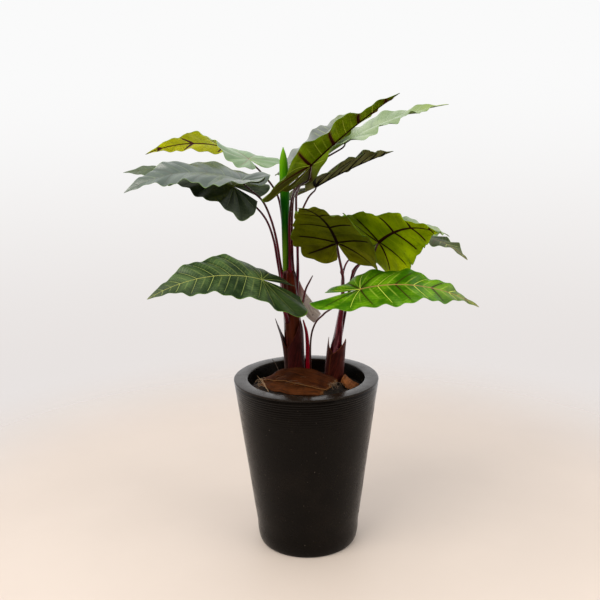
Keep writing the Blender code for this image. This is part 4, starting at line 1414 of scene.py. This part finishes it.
@dataclass(frozen=True)
class HuskSheet:
    """A sheet of husk that lies on the soil between a back edge and a front edge."""

    name: str
    back: tuple[tuple[float, float], ...]
    front: tuple[tuple[float, float], ...]
    layer: float
    flap: float
    seed: int
    pale_front: float = 0.0
    fray: float = 0.004
    thickness: float = 0.0018
    clearance: float = 0.0035
    rumples: tuple[float, float] = (0.0012, 0.0008)
    strands: tuple[float, float] = (0.0006, 0.0005)
    rows: int = 90
    columns: int = 44

    def build(self, soil: Soil, material: bpy.types.Material) -> None:
        """Makes the sheet and dresses it.

        Args:
            soil: What it lies on.
            material: Its finish.
        """
        back = smooth_path([(*p, 0.0) for p in self.back], self.rows)
        front = smooth_path([(*p, 0.0) for p in self.front], self.rows)
        dice = np.random.default_rng(self.seed)
        frays = [dice.uniform(0, 1, self.columns) for _ in range(2)]
        wander, ridges = ripples(self.seed, 5, 0.75), ripples(self.seed + 50, 9, 0.9)
        grid = np.zeros((self.rows, self.columns, 3))
        rim = np.zeros((self.rows, self.columns))
        for i in range(self.rows):
            s = i / (self.rows - 1)
            for j in range(self.columns):
                t = j / (self.columns - 1)
                ends = max(0.0, 1 - s * 12) * frays[0][j] - max(0.0, 1 - (1 - s) * 12) * frays[1][j]
                pull = 0.5 * self.fray * float(wander(s * 2.0)) * (t * t - (1 - t) ** 2)
                p = back[i] * (1 - t) + front[i] * t
                way = back[min(i + 1, self.rows - 1)] - back[max(i - 1, 0)]
                p = p + way / (np.linalg.norm(way) + 1e-9) * ends * self.fray * 2
                p[1] += pull
                x, y = float(p[0]), float(p[1])
                rumple = self.rumples[0] * sin(9 * s * pi) * (1 - t) + self.rumples[1] * sin(23 * s + 4 * t)
                lift = self.flap * (1 - t) ** 1.5 * sin(pi * min(max(s, 0.02), 0.98)) ** 0.4
                fibres = self.strands[0] * float(ridges(t * 3.0 + 0.2 * s))
                fibres += self.strands[1] * float(wander(s * 5 + t))
                seat = soil.ground(x, y) + self.layer + self.clearance
                grid[i, j] = (x, y, seat + rumple + lift + fibres)
                ends = 0.5 * max(0.0, 1 - s * 30, 1 - (1 - s) * 30)
                rim[i, j] = max(self.pale_front * max(0.0, 1 - (1 - t) * 34), ends)
        shape = Shape()
        if np.mean(grid_normals(grid)[..., 2]) < 0:
            grid, rim = grid[:, ::-1], rim[:, ::-1]
        thick_sheet(shape, grid, self.thickness, rim)
        shape.piece(self.name + "_sheet", material, "husk_brown", (self.name,))


@dataclass(frozen=True)
class Tuft:
    """Loose fibres that start in one patch. Each pair is the least and the greatest value."""

    count: int
    x: tuple[float, float]
    y: tuple[float, float]
    heading: tuple[float, float]
    length: tuple[float, float]
    shade: tuple[float, float]

    def draw(self, dice: np.random.Generator) -> list[float]:
        """One fibre's start, heading, length and shade."""
        return [dice.uniform(*span) for span in (self.x, self.y, self.heading, self.length, self.shade)]


@dataclass(frozen=True)
class Husk:
    """The husk sheets and the loose fibres and twigs on them."""

    soil: Soil = Soil()
    fibre_finish: FibreFinish = FibreFinish()
    fibre_radius: float = 0.00034
    fibre_height: float = 0.0085
    fibre_arch: float = 0.0035
    tufts: tuple[Tuft, ...] = (
        Tuft(16, (-0.105, 0.08), (-0.115, -0.060), (-0.5, 0.1), (0.012, 0.034), (0.0, 0.3)),
        Tuft(22, (-0.122, -0.100), (-0.096, -0.022), (1.2, 3.2), (0.008, 0.020), (0.1, 1.0)),
        Tuft(24, (0.056, 0.088), (-0.110, -0.066), (0.8, 2.2), (0.010, 0.026), (0.0, 0.5)),
    )

    def sheets(self) -> tuple[HuskSheet, ...]:
        """The lower, the upper and the right sheet."""
        return (
            HuskSheet(
                "husk_lower", ((-0.108, 0.000), (-0.070, -0.040), (-0.010, -0.075), (0.048, -0.095)),
                ((-0.118, -0.058), (-0.085, -0.108), (-0.030, -0.137), (0.040, -0.136)), 0.0, 0.0, 21),
            HuskSheet(
                "husk_upper",
                ((-0.112, 0.012), (-0.070, -0.030), (-0.020, -0.046), (0.040, -0.050), (0.084, -0.050)),
                ((-0.120, -0.028), (-0.079, -0.073), (-0.031, -0.102), (0.013, -0.114), (0.054, -0.117)),
                0.0045, 0.011, 33, pale_front=1.0),
            HuskSheet(
                "husk_right", ((0.098, 0.050), (0.101, 0.020), (0.100, -0.016), (0.088, -0.060)),
                ((0.125, 0.046), (0.139, 0.006), (0.131, -0.030), (0.104, -0.074)), 0.0, 0.024, 45,
                pale_front=0.6),
        )

    def build(self) -> None:
        """Makes the sheets and the strays."""
        lower = HuskFinish("lower_husk", tone(46, 22, 7), tone(92, 48, 19), tone(140, 88, 44))
        upper = HuskFinish("upper_husk", tone(36, 13, 3), tone(80, 38, 12), tone(124, 72, 32))
        right = HuskFinish("right_husk", tone(72, 36, 14), tone(140, 84, 44), tone(180, 124, 72))
        for sheet, finish in zip(self.sheets(), (lower, upper, right)):
            sheet.build(self.soil, finish.material())
        self._strays()

    def _strays(self) -> None:
        """Fibres that curl off the sheets, fine roots and two twigs, all in one piece."""
        dice = np.random.default_rng(7)
        shape = Shape()
        twigs = (
            (((-0.0871, -0.020, 0.5035), (-0.0790, -0.025, 0.494), (-0.0719, -0.030, 0.480),
                (-0.066, -0.034, 0.466)), 0.0014, 0.0),
            (((-0.1136, -0.080, 0.4732), (-0.1070, -0.089, 0.464), (-0.0984, -0.100, 0.4510),
                (-0.094, -0.104, 0.444)), 0.0009, 0.95),
            (((-0.1180, -0.070, 0.4700), (-0.1080, -0.086, 0.459), (-0.0950, -0.102, 0.4470)), 0.0007, 0.8),
            (((-0.1250, -0.040, 0.4660), (-0.1130, -0.060, 0.457), (-0.1010, -0.088, 0.4480)), 0.0008, 0.5),
            (((-0.0600, -0.026, 0.5120), (-0.0560, -0.030, 0.498), (-0.0520, -0.034, 0.4840),
                (-0.049, -0.038, 0.470)), 0.0009, 0.0),
        )
        for points, radius, shade in twigs:
            radii = [radius * (0.5 + 0.6 * i / len(points)) for i in range(len(points))]
            path = smooth_path([(*p, r) for p, r in zip(points, radii)], 18)
            sweep(shape, path, 6, shade=shade)
        for tuft in self.tufts:
            for _ in range(tuft.count):
                self._fibre(shape, dice, *tuft.draw(dice))
        shape.piece("husk_fibres", self.fibre_finish.material(), "husk_brown")

    def _fibre(
        self, shape: Shape, dice: np.random.Generator, x: float, y: float,
        way: float, length: float, shade: float
    ) -> None:
        """Adds one fibre that rests on the husk at its two ends and rises a little between them.

        Args:
            shape: The mesh it is added to.
            dice: Source of its random turns.
            x: Where it starts, to the right.
            y: Where it starts, to the back.
            way: Its heading in radians from +X.
            length: Its length.
            shade: 0 dark to 1 light.
        """
        points = []
        for step in range(6):
            z = self.soil.ground(x, y) + self.fibre_height + self.fibre_arch * sin(pi * step / 5)
            points.append((x, y, z, self.fibre_radius))
            x, y = x + length / 5 * cos(way), y + length / 5 * sin(way)
            way += dice.uniform(-0.5, 0.5)
        sweep(shape, smooth_path(points, 12), 5, shade=shade)


# Stems and sheaths


@dataclass(frozen=True)
class Stalk:
    """A leaf stalk: waypoints from its foot up to the blade it carries."""

    blade: str
    route: tuple[Point, ...]
    foot: float
    knot: float | None = None
    head: float = 0.0021
    foot_flare: float = 1.35
    swell: float = 0.7
    swell_reach: float = 0.055
    knot_swell: float = 0.55
    knot_reach: float = 0.004
    rows: int = 72
    sides: int = 14

    def build(self, blade: Blade, material: bpy.types.Material) -> None:
        """Makes the stalk and dresses it.

        Args:
            blade: The blade it carries.
            material: Its finish.
        """
        points = [np.array(p) for p in self.route] + blade.arrival(self.route[-1])
        count = len(points)
        rows = []
        for i, p in enumerate(points):
            radius = self.foot + (self.head - self.foot) * i / (count - 1)
            rows.append((*p, radius * (self.foot_flare if i == 0 else 1.0)))
        path = smooth_path(rows, self.rows)
        rise = path[:, 2] - self.route[0][2]
        path[:, 3] *= 1 + self.swell * np.exp(-((rise / self.swell_reach) ** 2))
        if self.knot:
            away = path[:, 2] - self.knot
            path[:, 3] *= 1 + self.knot_swell * np.exp(-((away / self.knot_reach) ** 2))
        shape = Shape()
        bump = ripples(len(self.blade), 4, 0.7)
        sweep(
            shape, path, self.sides,
            lambda turn, share: 1 + 0.05 * np.cos(turn * 2 + 3 * share) + 0.03 * bump(share * 6))
        shape.piece("stalk_" + self.blade.removeprefix("leaf_"), material, "stem_maroon")


STEM_DOME = ((0.006, 0.82), (0.012, 0.5), (0.015, 0.15))  # height above the stem's top, share of its radius


@dataclass(frozen=True)
class StemClump:
    """A thick stem and the stalks that grow from it."""

    node: str
    axis: tuple[Ring, ...]
    stalks: tuple[Stalk, ...]
    flutes: int
    finish: StemFinish
    stalk_finish: StemFinish
    rows: int = 110
    sides: int = 48

    def build(self, by_name: dict[str, Blade]) -> None:
        """Makes the stem and its stalks.

        Args:
            by_name: Every blade, by name.
        """
        x, y, top, radius = self.axis[-1]
        dome = tuple((x, y, top + height, radius * share) for height, share in STEM_DOME)
        path = smooth_path(self.axis + dome, self.rows)
        bump = ripples(17, 5, 0.8)
        shape = Shape()

        def outline(turn: np.ndarray, share: float) -> np.ndarray:
            """Flutes that deepen towards the top, where the stalks part."""
            deep = 0.02 + 0.07 * share**2
            flutes = deep * np.cos(self.flutes * turn + 2.5 * share)
            return 1 + flutes - deep + 0.015 * bump(turn / (2 * pi) * 2 + share)

        sweep(shape, path, self.sides, outline)
        shape.piece(self.node + "_core", self.finish.material(), "stem_maroon", (self.node,))
        material = self.stalk_finish.material()
        for stalk in self.stalks:
            stalk.build(by_name[stalk.blade], material)


@dataclass(frozen=True)
class Sheath:
    """A papery shell round the foot of a stem, with a pointed tip."""

    name: str
    axis: tuple[Ring, ...]
    radii: tuple[tuple[float, float], ...]
    layer: int
    start: float
    end: float
    tip_at: float
    spread: float
    shoulder: float
    tip: float
    flare: float
    finish: SheathFinish
    foot: float = 0.4003
    layer_step: float = 0.0017
    thickness: float = 0.0011
    fray: float = 0.0035
    rib: float = 0.0004
    rim_rate: float = 58.0
    side_rate: float = 40.0
    columns: int = 72
    rows: int = 60

    def build(self) -> None:
        """Makes the sheath and dresses it."""
        heights, values = zip(*self.radii)
        axis = np.array(self.axis)
        frays, ribs = ripples(len(self.name) + 5, 9, 0.85), ripples(len(self.name), 12, 0.95)
        grid = np.zeros((self.columns, self.rows, 3))
        rim = np.zeros((self.columns, self.rows))
        for i in range(self.columns):
            s = i / (self.columns - 1)
            turn = self.start + (self.end - self.start) * s
            peak = max(0.0, 1 - abs(turn - self.tip_at) / self.spread) ** 1.4
            top = self.shoulder + (self.tip - self.shoulder) * peak
            top = top + self.fray * float(frays(s * 5)) * (1 - peak)
            for j in range(self.rows):
                share = j / (self.rows - 1)
                z = self.foot + (top - self.foot) * share
                r = float(np.interp(z, heights, values)) + self.layer_step * self.layer + self.thickness
                r += self.flare * peak * share**4 + self.rib * float(ribs(s * 4 + 0.3 * share))
                x, y = (float(np.interp(z, axis[:, 2], axis[:, k])) for k in (0, 1))
                grid[i, j] = (x + r * cos(radians(turn)), y + r * sin(radians(turn)), z)
                ends = max(1 - s * self.side_rate, 1 - (1 - s) * self.side_rate)
                rim[i, j] = max(0.0, 1 - (1 - share) * self.rim_rate, ends)
        if self.end < self.start:
            grid, rim = grid[::-1], rim[::-1]
        shape = Shape()
        thick_sheet(shape, grid.transpose(1, 0, 2)[:, ::-1], self.thickness, rim.T[:, ::-1])
        shape.piece(self.name + "_shell", self.finish.material(), "sheath_brown", (self.name,))


@dataclass(frozen=True)
class YoungLeaf:
    """The rolled young leaf: one sheet wound round itself, with a step where it overlaps."""

    axis: tuple[Ring, ...]
    finish: SpearFinish = SpearFinish()
    rows: int = 110
    sides: int = 56
    step: float = 0.10
    seam_at: float = 3.6
    seam_twist: float = 1.1

    def wound(self, turn: np.ndarray, share: float | np.ndarray) -> np.ndarray:
        """How far round from the seam, 0 to 1."""
        return np.mod(turn - self.seam_at + self.seam_twist * share, 2 * pi) / (2 * pi)

    def build(self) -> None:
        """Makes the roll and dresses it."""
        path = smooth_path(self.axis, self.rows)
        shape = Shape()

        def outline(turn: np.ndarray, share: float) -> np.ndarray:
            """A spiral that falls back at the seam."""
            return 1.0 - self.step * (1 - self.wound(turn, share)) * min(1.0, (1 - share) * 6)

        shares = sweep(shape, path, self.sides, outline)
        low, high = path[0, 2], path[-1, 2]
        points = shape.points[0]
        around = np.linspace(0, 2 * pi, self.sides, endpoint=False)
        turn = np.concatenate([np.tile(around, len(path)), [0, 0]])
        shape.stored["rise"] = [(points[:, 2] - low) / (high - low)]
        shape.stored["seam"] = [np.clip((self.wound(turn, shares) - 0.95) / 0.04, 0, 1)]
        shape.piece("young_leaf_roll", self.finish.material(), "young_green", ("young_leaf",), sharp=70.0)


@dataclass(frozen=True)
class SingleStalk:
    """A stalk of its own, swept along its axis."""

    name: str
    slot: str
    path: tuple[Ring, ...]
    finish: StemFinish
    replaced: tuple[str, ...] = ()
    sides: int = 18

    def build(self) -> None:
        """Makes the stalk and dresses it."""
        shape = Shape()
        bump = ripples(len(self.name), 4, 0.7)
        path = smooth_path(self.path, 60)
        sweep(
            shape, path, self.sides,
            lambda turn, share: 1 + 0.05 * np.cos(turn + 2) + 0.03 * bump(share * 5))
        shape.piece(self.name, self.finish.material(), self.slot, self.replaced)


@dataclass(frozen=True)
class DryStrip:
    """The withered strip that hangs at the right of the main stem."""

    left: tuple[Point, ...] = (
        (-0.0181, 0.0160, 0.7010), (-0.0160, 0.0195, 0.6570), (0.0013, 0.0250, 0.6070),
        (0.0218, 0.0250, 0.5860))
    right: tuple[Point, ...] = (
        (-0.0150, 0.0160, 0.7030), (-0.0030, 0.0220, 0.6750), (0.0190, 0.0260, 0.6420),
        (0.0407, 0.0250, 0.6097))
    thickness: float = 0.0007
    cup: float = 0.0022
    waver: float = 0.0006
    rows: int = 60
    columns: int = 20
    finish: DryFinish = DryFinish()

    def build(self) -> None:
        """Makes the strip and dresses it."""
        a, b = smooth_path(self.left, self.rows), smooth_path(self.right, self.rows)
        wander = ripples(91, 5, 0.8)
        t = np.linspace(0, 1, self.columns)
        s = np.linspace(0, 1, self.rows)
        grid = a[:, None, :] * (1 - t)[None, :, None] + b[:, None, :] * t[None, :, None]
        grid[..., 1] -= self.cup * np.sin(pi * t)[None, :] * np.clip(s * 4, 0, 1)[:, None]
        grid[..., 1] += self.waver * wander(s[:, None] * 3 + t[None, :])
        rim = np.maximum(0, 1 - np.minimum(t, 1 - t) * 14)[None, :] * np.ones((self.rows, 1))
        if np.mean(grid_normals(grid)[..., 1]) > 0:
            grid, rim = grid[:, ::-1], rim[:, ::-1]
        shape = Shape()
        thick_sheet(shape, grid, self.thickness, rim)
        shape.piece("dry_strip", self.finish.material(), "dry_grey", ("dry_sheath",))


# Routes of the stems, as in the solids

MAIN_AXIS = (
    (-0.0300, 0.0, 0.360, 0.0235), (-0.0300, 0.0, 0.430, 0.0235), (-0.0305, 0.0, 0.500, 0.0235),
    (-0.0320, 0.0, 0.560, 0.0232), (-0.0346, 0.0, 0.620, 0.0222), (-0.0375, 0.0, 0.670, 0.0205),
    (-0.0395, 0.0, 0.705, 0.0188), (-0.0405, 0.0, 0.725, 0.0170),
)
SECOND_AXIS = (
    (0.0706, 0.0, 0.370, 0.0205), (0.0706, 0.0, 0.405, 0.0205), (0.0706, 0.0, 0.440, 0.0200),
    (0.0738, 0.0, 0.480, 0.0185), (0.0788, 0.0, 0.530, 0.0145), (0.0835, 0.0, 0.560, 0.0118),
    (0.0880, 0.0, 0.600, 0.0085), (0.0912, 0.0, 0.628, 0.0060),
)
MAIN_STALKS = (
    Stalk(
        "leaf_left_top", ((-0.0470, 0.008, 0.680), (-0.0520, 0.020, 0.780), (-0.0580, 0.045, 0.878),
        (-0.0740, 0.055, 0.930), (-0.1100, 0.068, 0.975)), 0.0034),
    Stalk(
        "leaf_left_back", ((-0.0500, 0.002, 0.660), (-0.0615, 0.002, 0.745), (-0.0700, -0.008, 0.811),
        (-0.0822, -0.028, 0.866), (-0.1006, -0.046, 0.912), (-0.1290, -0.055, 0.940)), 0.0036),
    Stalk(
        "leaf_left_front", ((-0.0500, 0.010, 0.650), (-0.0675, 0.009, 0.745), (-0.0771, 0.005, 0.808),
        (-0.0956, 0.008, 0.860), (-0.1290, 0.018, 0.898), (-0.1620, 0.026, 0.914)), 0.0034),
    Stalk(
        "leaf_left_low", ((-0.0440, -0.012, 0.600), (-0.0560, -0.036, 0.645), (-0.0740, -0.076, 0.685),
        (-0.0930, -0.112, 0.708)), 0.0034),
    Stalk(
        "leaf_top_front", ((-0.0360, -0.006, 0.690), (-0.0372, -0.008, 0.780), (-0.0364, -0.014, 0.858),
        (-0.0324, -0.030, 0.897), (-0.0270, -0.052, 0.925), (-0.0120, -0.088, 0.950),
        (0.0090, -0.115, 0.966)), 0.0038),
    Stalk(
        "leaf_top_back", ((-0.0320, 0.004, 0.690), (-0.0315, 0.006, 0.780), (-0.0300, 0.012, 0.870),
        (-0.0230, 0.025, 0.935), (-0.0100, 0.045, 0.975)), 0.0038),
    Stalk(
        "leaf_top_right", ((-0.0270, 0.004, 0.670), (-0.0185, 0.016, 0.717), (-0.0180, 0.017, 0.800),
        (-0.0195, 0.020, 0.890), (-0.0150, 0.028, 0.930), (0.0140, 0.042, 0.968), (0.0430, 0.060, 0.998),
        (0.0730, 0.080, 1.014)), 0.0036),
    Stalk(
        "leaf_right_upper", ((-0.0270, 0.000, 0.650), (-0.0178, 0.006, 0.720), (-0.0166, 0.010, 0.793),
        (-0.0081, 0.030, 0.8641), (0.0100, 0.060, 0.9035), (0.0241, 0.077, 0.9185)), 0.0034),
)
SECOND_STALKS = (
    Stalk(
        "leaf_second_front", ((0.0790, 0.000, 0.530), (0.0860, -0.002, 0.575), (0.0939, -0.006, 0.634),
        (0.0955, -0.020, 0.700), (0.0925, -0.032, 0.731), (0.0840, -0.052, 0.772)), 0.0062, 0.7305),
    Stalk(
        "leaf_second_right", ((0.0820, 0.002, 0.530), (0.0935, 0.004, 0.575), (0.1051, 0.006, 0.632),
        (0.1219, 0.012, 0.720), (0.1426, 0.014, 0.744), (0.1600, -0.040, 0.768), (0.1650, -0.090, 0.785)),
        0.0036, 0.7241),
    Stalk(
        "leaf_second_back", ((0.0830, 0.006, 0.530), (0.0930, 0.012, 0.575), (0.1075, 0.020, 0.634),
        (0.1270, 0.030, 0.715), (0.1550, 0.034, 0.748), (0.1950, 0.030, 0.770)), 0.0034),
    Stalk(
        "leaf_second_far", ((0.0780, 0.006, 0.530), (0.0860, 0.014, 0.575), (0.0945, 0.030, 0.634),
        (0.0990, 0.070, 0.700), (0.1200, 0.120, 0.735), (0.1750, 0.190, 0.750)), 0.0034),
)
STUB = ((-0.026, -0.004, 0.610, 0.0032), (-0.0073, -0.008, 0.648, 0.0030), (0.0021, -0.010, 0.684, 0.0026),
        (0.0130, -0.010, 0.706, 0.0021), (0.0197, -0.010, 0.7186, 0.0011))
LOW_STALK = (((0.0115, -0.034, 0.405), (0.0115, -0.034, 0.450), (0.0121, -0.038, 0.5536),
              (0.0231, -0.062, 0.6063), (0.0423, -0.095, 0.6375), (0.0538, -0.115, 0.6524),
              (0.0916, -0.175, 0.6920)))
SPEAR_AXIS = (
    (-0.0490, -0.002, 0.7253, 0.0066), (-0.0485, -0.002, 0.767, 0.0079), (-0.0480, -0.002, 0.818, 0.0090),
    (-0.0476, -0.002, 0.868, 0.0102), (-0.0472, -0.002, 0.915, 0.0123), (-0.0476, -0.002, 0.960, 0.0125),
    (-0.0486, -0.002, 0.995, 0.0110), (-0.0490, -0.002, 1.018, 0.0072), (-0.0493, -0.002, 1.038, 0.0006),
)
RED_STALK = (
    (0.0045, -0.018, 0.405, 0.0060), (0.0045, -0.018, 0.450, 0.0060), (0.0045, -0.018, 0.500, 0.0058),
    (0.0042, -0.018, 0.545, 0.0050), (0.0015, -0.017, 0.575, 0.0040), (-0.0035, -0.015, 0.595, 0.0027),
    (-0.0060, -0.014, 0.605, 0.0016),
)
MAIN_RADII = ((0.40, 0.0243), (0.56, 0.0240), (0.62, 0.0230))
SECOND_RADII = ((0.40, 0.0225), (0.48, 0.0230), (0.56, 0.0215))


@dataclass(frozen=True)
class Studio:
    """Plain pale floor that fades into a pale room, soft lights and the camera of the photograph."""

    floor_colour: Colour = tone(212, 199, 188)
    room_colour: Colour = tone(242, 241, 242)
    wall_low: Colour = tone(232, 227, 225)
    wall_high: Colour = tone(250, 250, 250)
    floor_radius: float = 2.6
    fade_from: float = 0.85
    fade_to: float = 1.75
    camera_at: Point = (-0.0132, -2.066, 1.138)
    camera_pitch: float = 13.2
    camera_roll: float = -0.0143
    lens: float = 50.0
    front_light: float = 0.08
    back_light: float = 1.9
    top_light: float = 0.95

    def build(self) -> None:
        """Makes the floor, the room, the lights and the camera."""
        scene = bpy.context.scene
        scene.view_settings.view_transform = "Standard"
        self._floor()
        self._room(scene)
        self._light("key_light", (-1.3, -1.4, 2.7), (0.0, 0.0, 0.75), 2.0, 64.0)
        self._light("fill_light", (2.1, -1.3, 1.9), (0.0, 0.0, 0.5), 2.0, 30.0)
        camera = bpy.data.objects.new("camera", bpy.data.cameras.new("camera"))
        camera.data.lens = self.lens
        camera.location = self.camera_at
        pitched = Euler((radians(90 - self.camera_pitch), 0, 0)).to_matrix()
        turned = pitched @ Euler((0, 0, self.camera_roll)).to_matrix()
        camera.rotation_euler = turned.to_euler()
        scene.collection.objects.link(camera)
        scene.camera = camera

    def _floor(self) -> None:
        """A disc whose material dissolves towards its rim."""
        sides = 96
        turns = [2 * pi * k / sides for k in range(sides)]
        points = [(0.0, 0.0, 0.0)]
        points += [(self.floor_radius * cos(a), self.floor_radius * sin(a), 0.0) for a in turns]
        mesh = bpy.data.meshes.new("floor")
        mesh.from_pydata(points, [], [(0, 1 + k, 1 + (k + 1) % sides) for k in range(sides)])
        g = Graph("floor_tile")
        away = g.node("VectorMath", {0: g.place()}, "Value", operation="LENGTH")
        cloud = g.noise(2.2, g.place(), 4.0)
        colour = g.mix(g.step(cloud, 0.35, 0.65) * 0.25, self.floor_colour, tone(202, 189, 178))
        shader = g.node(
            "BsdfPrincipled", {"Base Color": colour, "Roughness": 0.55, "Specular IOR Level": 0.3})
        clear = g.node("BsdfTransparent")
        faded = g.node("MixShader", {0: g.step(away, self.fade_from, self.fade_to), 1: shader, 2: clear})
        g.finish(faded)
        mesh.materials.append(g.made)
        floor = bpy.data.objects.new("floor", mesh)
        bpy.context.scene.collection.objects.link(floor)

    def _room(self, scene: bpy.types.Scene) -> None:
        """Lights the scene from a room that is pale behind and above, and adds the pale backdrop.

        Args:
            scene: The scene that gets them.
        """
        g = Graph("room", "worlds")
        way = g.node("TexCoord", output="Generated")
        behind = g.step(g.node("SeparateXYZ", {0: way}, 1), -0.7, 0.7)
        level = g.blend(behind, self.front_light, self.back_light)
        level = g.blend(g.step(g.node("SeparateXYZ", {0: way}, 2), 0.2, 0.9), level, self.top_light)
        g.finish(g.node("Background", {"Color": self.room_colour, "Strength": level}), "OutputWorld")
        scene.world = g.made

        shape = bmesh.new()
        bmesh.ops.create_uvsphere(shape, u_segments=48, v_segments=24, radius=9.0)
        mesh = bpy.data.meshes.new("wall")
        shape.to_mesh(mesh)
        shape.free()
        paint = Graph("wall_paint")
        height = paint.node("SeparateXYZ", {0: paint.place()}, 2)
        colour = paint.mix(paint.step(height, -2.2, 1.6), self.wall_low, self.wall_high)
        paint.finish(paint.node("Emission", {"Color": colour, "Strength": 1.0}))
        mesh.materials.append(paint.made)
        wall = bpy.data.objects.new("wall", mesh)
        wall.visible_diffuse = wall.visible_glossy = wall.visible_shadow = wall.visible_transmission = False
        scene.collection.objects.link(wall)

    @staticmethod
    def _light(name: str, place: Point, target: Point, size: float, power: float) -> None:
        """A square soft light.

        Args:
            name: Its name.
            place: Where it stands.
            target: What it points at.
            size: Side of the square.
            power: Watts.
        """
        lamp = bpy.data.lights.new(name, "AREA")
        lamp.size = size
        lamp.energy = power
        lamp.color = (1.0, 0.95, 0.88)
        made = bpy.data.objects.new(name, lamp)
        made.location = place
        made.rotation_euler = (Vector(place) - Vector(target)).to_track_quat("Z", "Y").to_euler()
        bpy.context.scene.collection.objects.link(made)


def stems(by_name: dict[str, Blade]) -> None:
    """Builds both clumps and the stalks that stand by themselves.

    Args:
        by_name: Every blade, by name.
    """
    trunk = StemFinish("trunk_skin", tone(34, 4, 2), tone(82, 20, 7), tone(134, 58, 32), tone(92, 40, 16),
                        patches=0.6, roughness=0.30, streak=120.0, gloss=0.12)
    stalk = StemFinish("stalk_skin", tone(56, 4, 14), tone(122, 12, 44), tone(210, 116, 138), roughness=0.20,
        gloss=0.4)
    dusky = StemFinish("second_stem_skin", tone(46, 4, 10), tone(104, 16, 34), tone(214, 132, 144),
        tone(50, 12, 10), roughness=0.18)
    StemClump("main_stem", MAIN_AXIS, MAIN_STALKS, 7, trunk, stalk).build(by_name)
    StemClump("second_stem", SECOND_AXIS, SECOND_STALKS, 4, dusky, dusky).build(by_name)
    SingleStalk("bare_stub", "stem_maroon", STUB,
        StemFinish("stub_skin", tone(64, 14, 18), tone(110, 30, 36))).build()
    blade = by_name["leaf_low_right"]
    route = [(*p, 0.0024) for p in LOW_STALK] + [(*p, 0.0021) for p in blade.arrival(LOW_STALK[-1])]
    thin = StemFinish("low_stalk_skin", tone(50, 20, 18), tone(96, 40, 34), tone(140, 88, 70), gloss=0.25)
    SingleStalk("low_stalk_tube", "stem_maroon", tuple(route), thin, ("low_stalk",)).build()
    red = StemFinish("red_stalk_skin", tone(112, 0, 18), tone(168, 2, 34), tone(220, 70, 96),
        tone(120, 0, 20),
                      patches=0.3, roughness=0.12)
    SingleStalk("red_stalk_tube", "stalk_red", RED_STALK, red, ("red_stalk",), 22).build()
    YoungLeaf(SPEAR_AXIS).build()


def sheaths() -> None:
    """Builds the four papery sheaths and the withered strip."""
    brown = SheathFinish("sheath_left_paper", tone(30, 8, 5), tone(66, 24, 14), tone(110, 56, 36),
        tone(116, 70, 42))
    purple = SheathFinish("sheath_right_paper", tone(46, 12, 12), tone(88, 30, 28), tone(124, 58, 50),
        tone(124, 64, 50))
    rust = SheathFinish("second_sheath_paper", tone(42, 12, 11), tone(86, 32, 24), tone(150, 84, 46),
        tone(160, 98, 52))
    Sheath("main_sheath_left", MAIN_AXIS, MAIN_RADII, 0, -95, -262, -185, 58, 0.528, 0.606, 0.020,
        brown).build()
    Sheath("main_sheath_right", MAIN_AXIS, MAIN_RADII, 1, -126, 62, -38, 96, 0.530, 0.608, 0.001,
        purple).build()
    Sheath("second_sheath_left", SECOND_AXIS, SECOND_RADII, 0, -98, -285, -176, 70, 0.515, 0.556, 0.001,
        rust).build()
    Sheath("second_sheath_right", SECOND_AXIS, SECOND_RADII, 1, -125, 85, -28, 96, 0.514, 0.553, -0.0012,
        rust).build()
    DryStrip().build()


def main() -> None:
    """Builds every piece in order."""
    logging.basicConfig(level=logging.INFO, format="%(message)s")
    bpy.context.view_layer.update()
    Studio().build()
    Pot().build()
    Soil().build()
    Husk().build()
    stems({blade.name: blade for blade in BLADES})
    sheaths()
    finishes = leaf_finishes()
    for blade in BLADES:
        blade.build(finishes[blade.name])


if __name__ == "__main__":
    main()
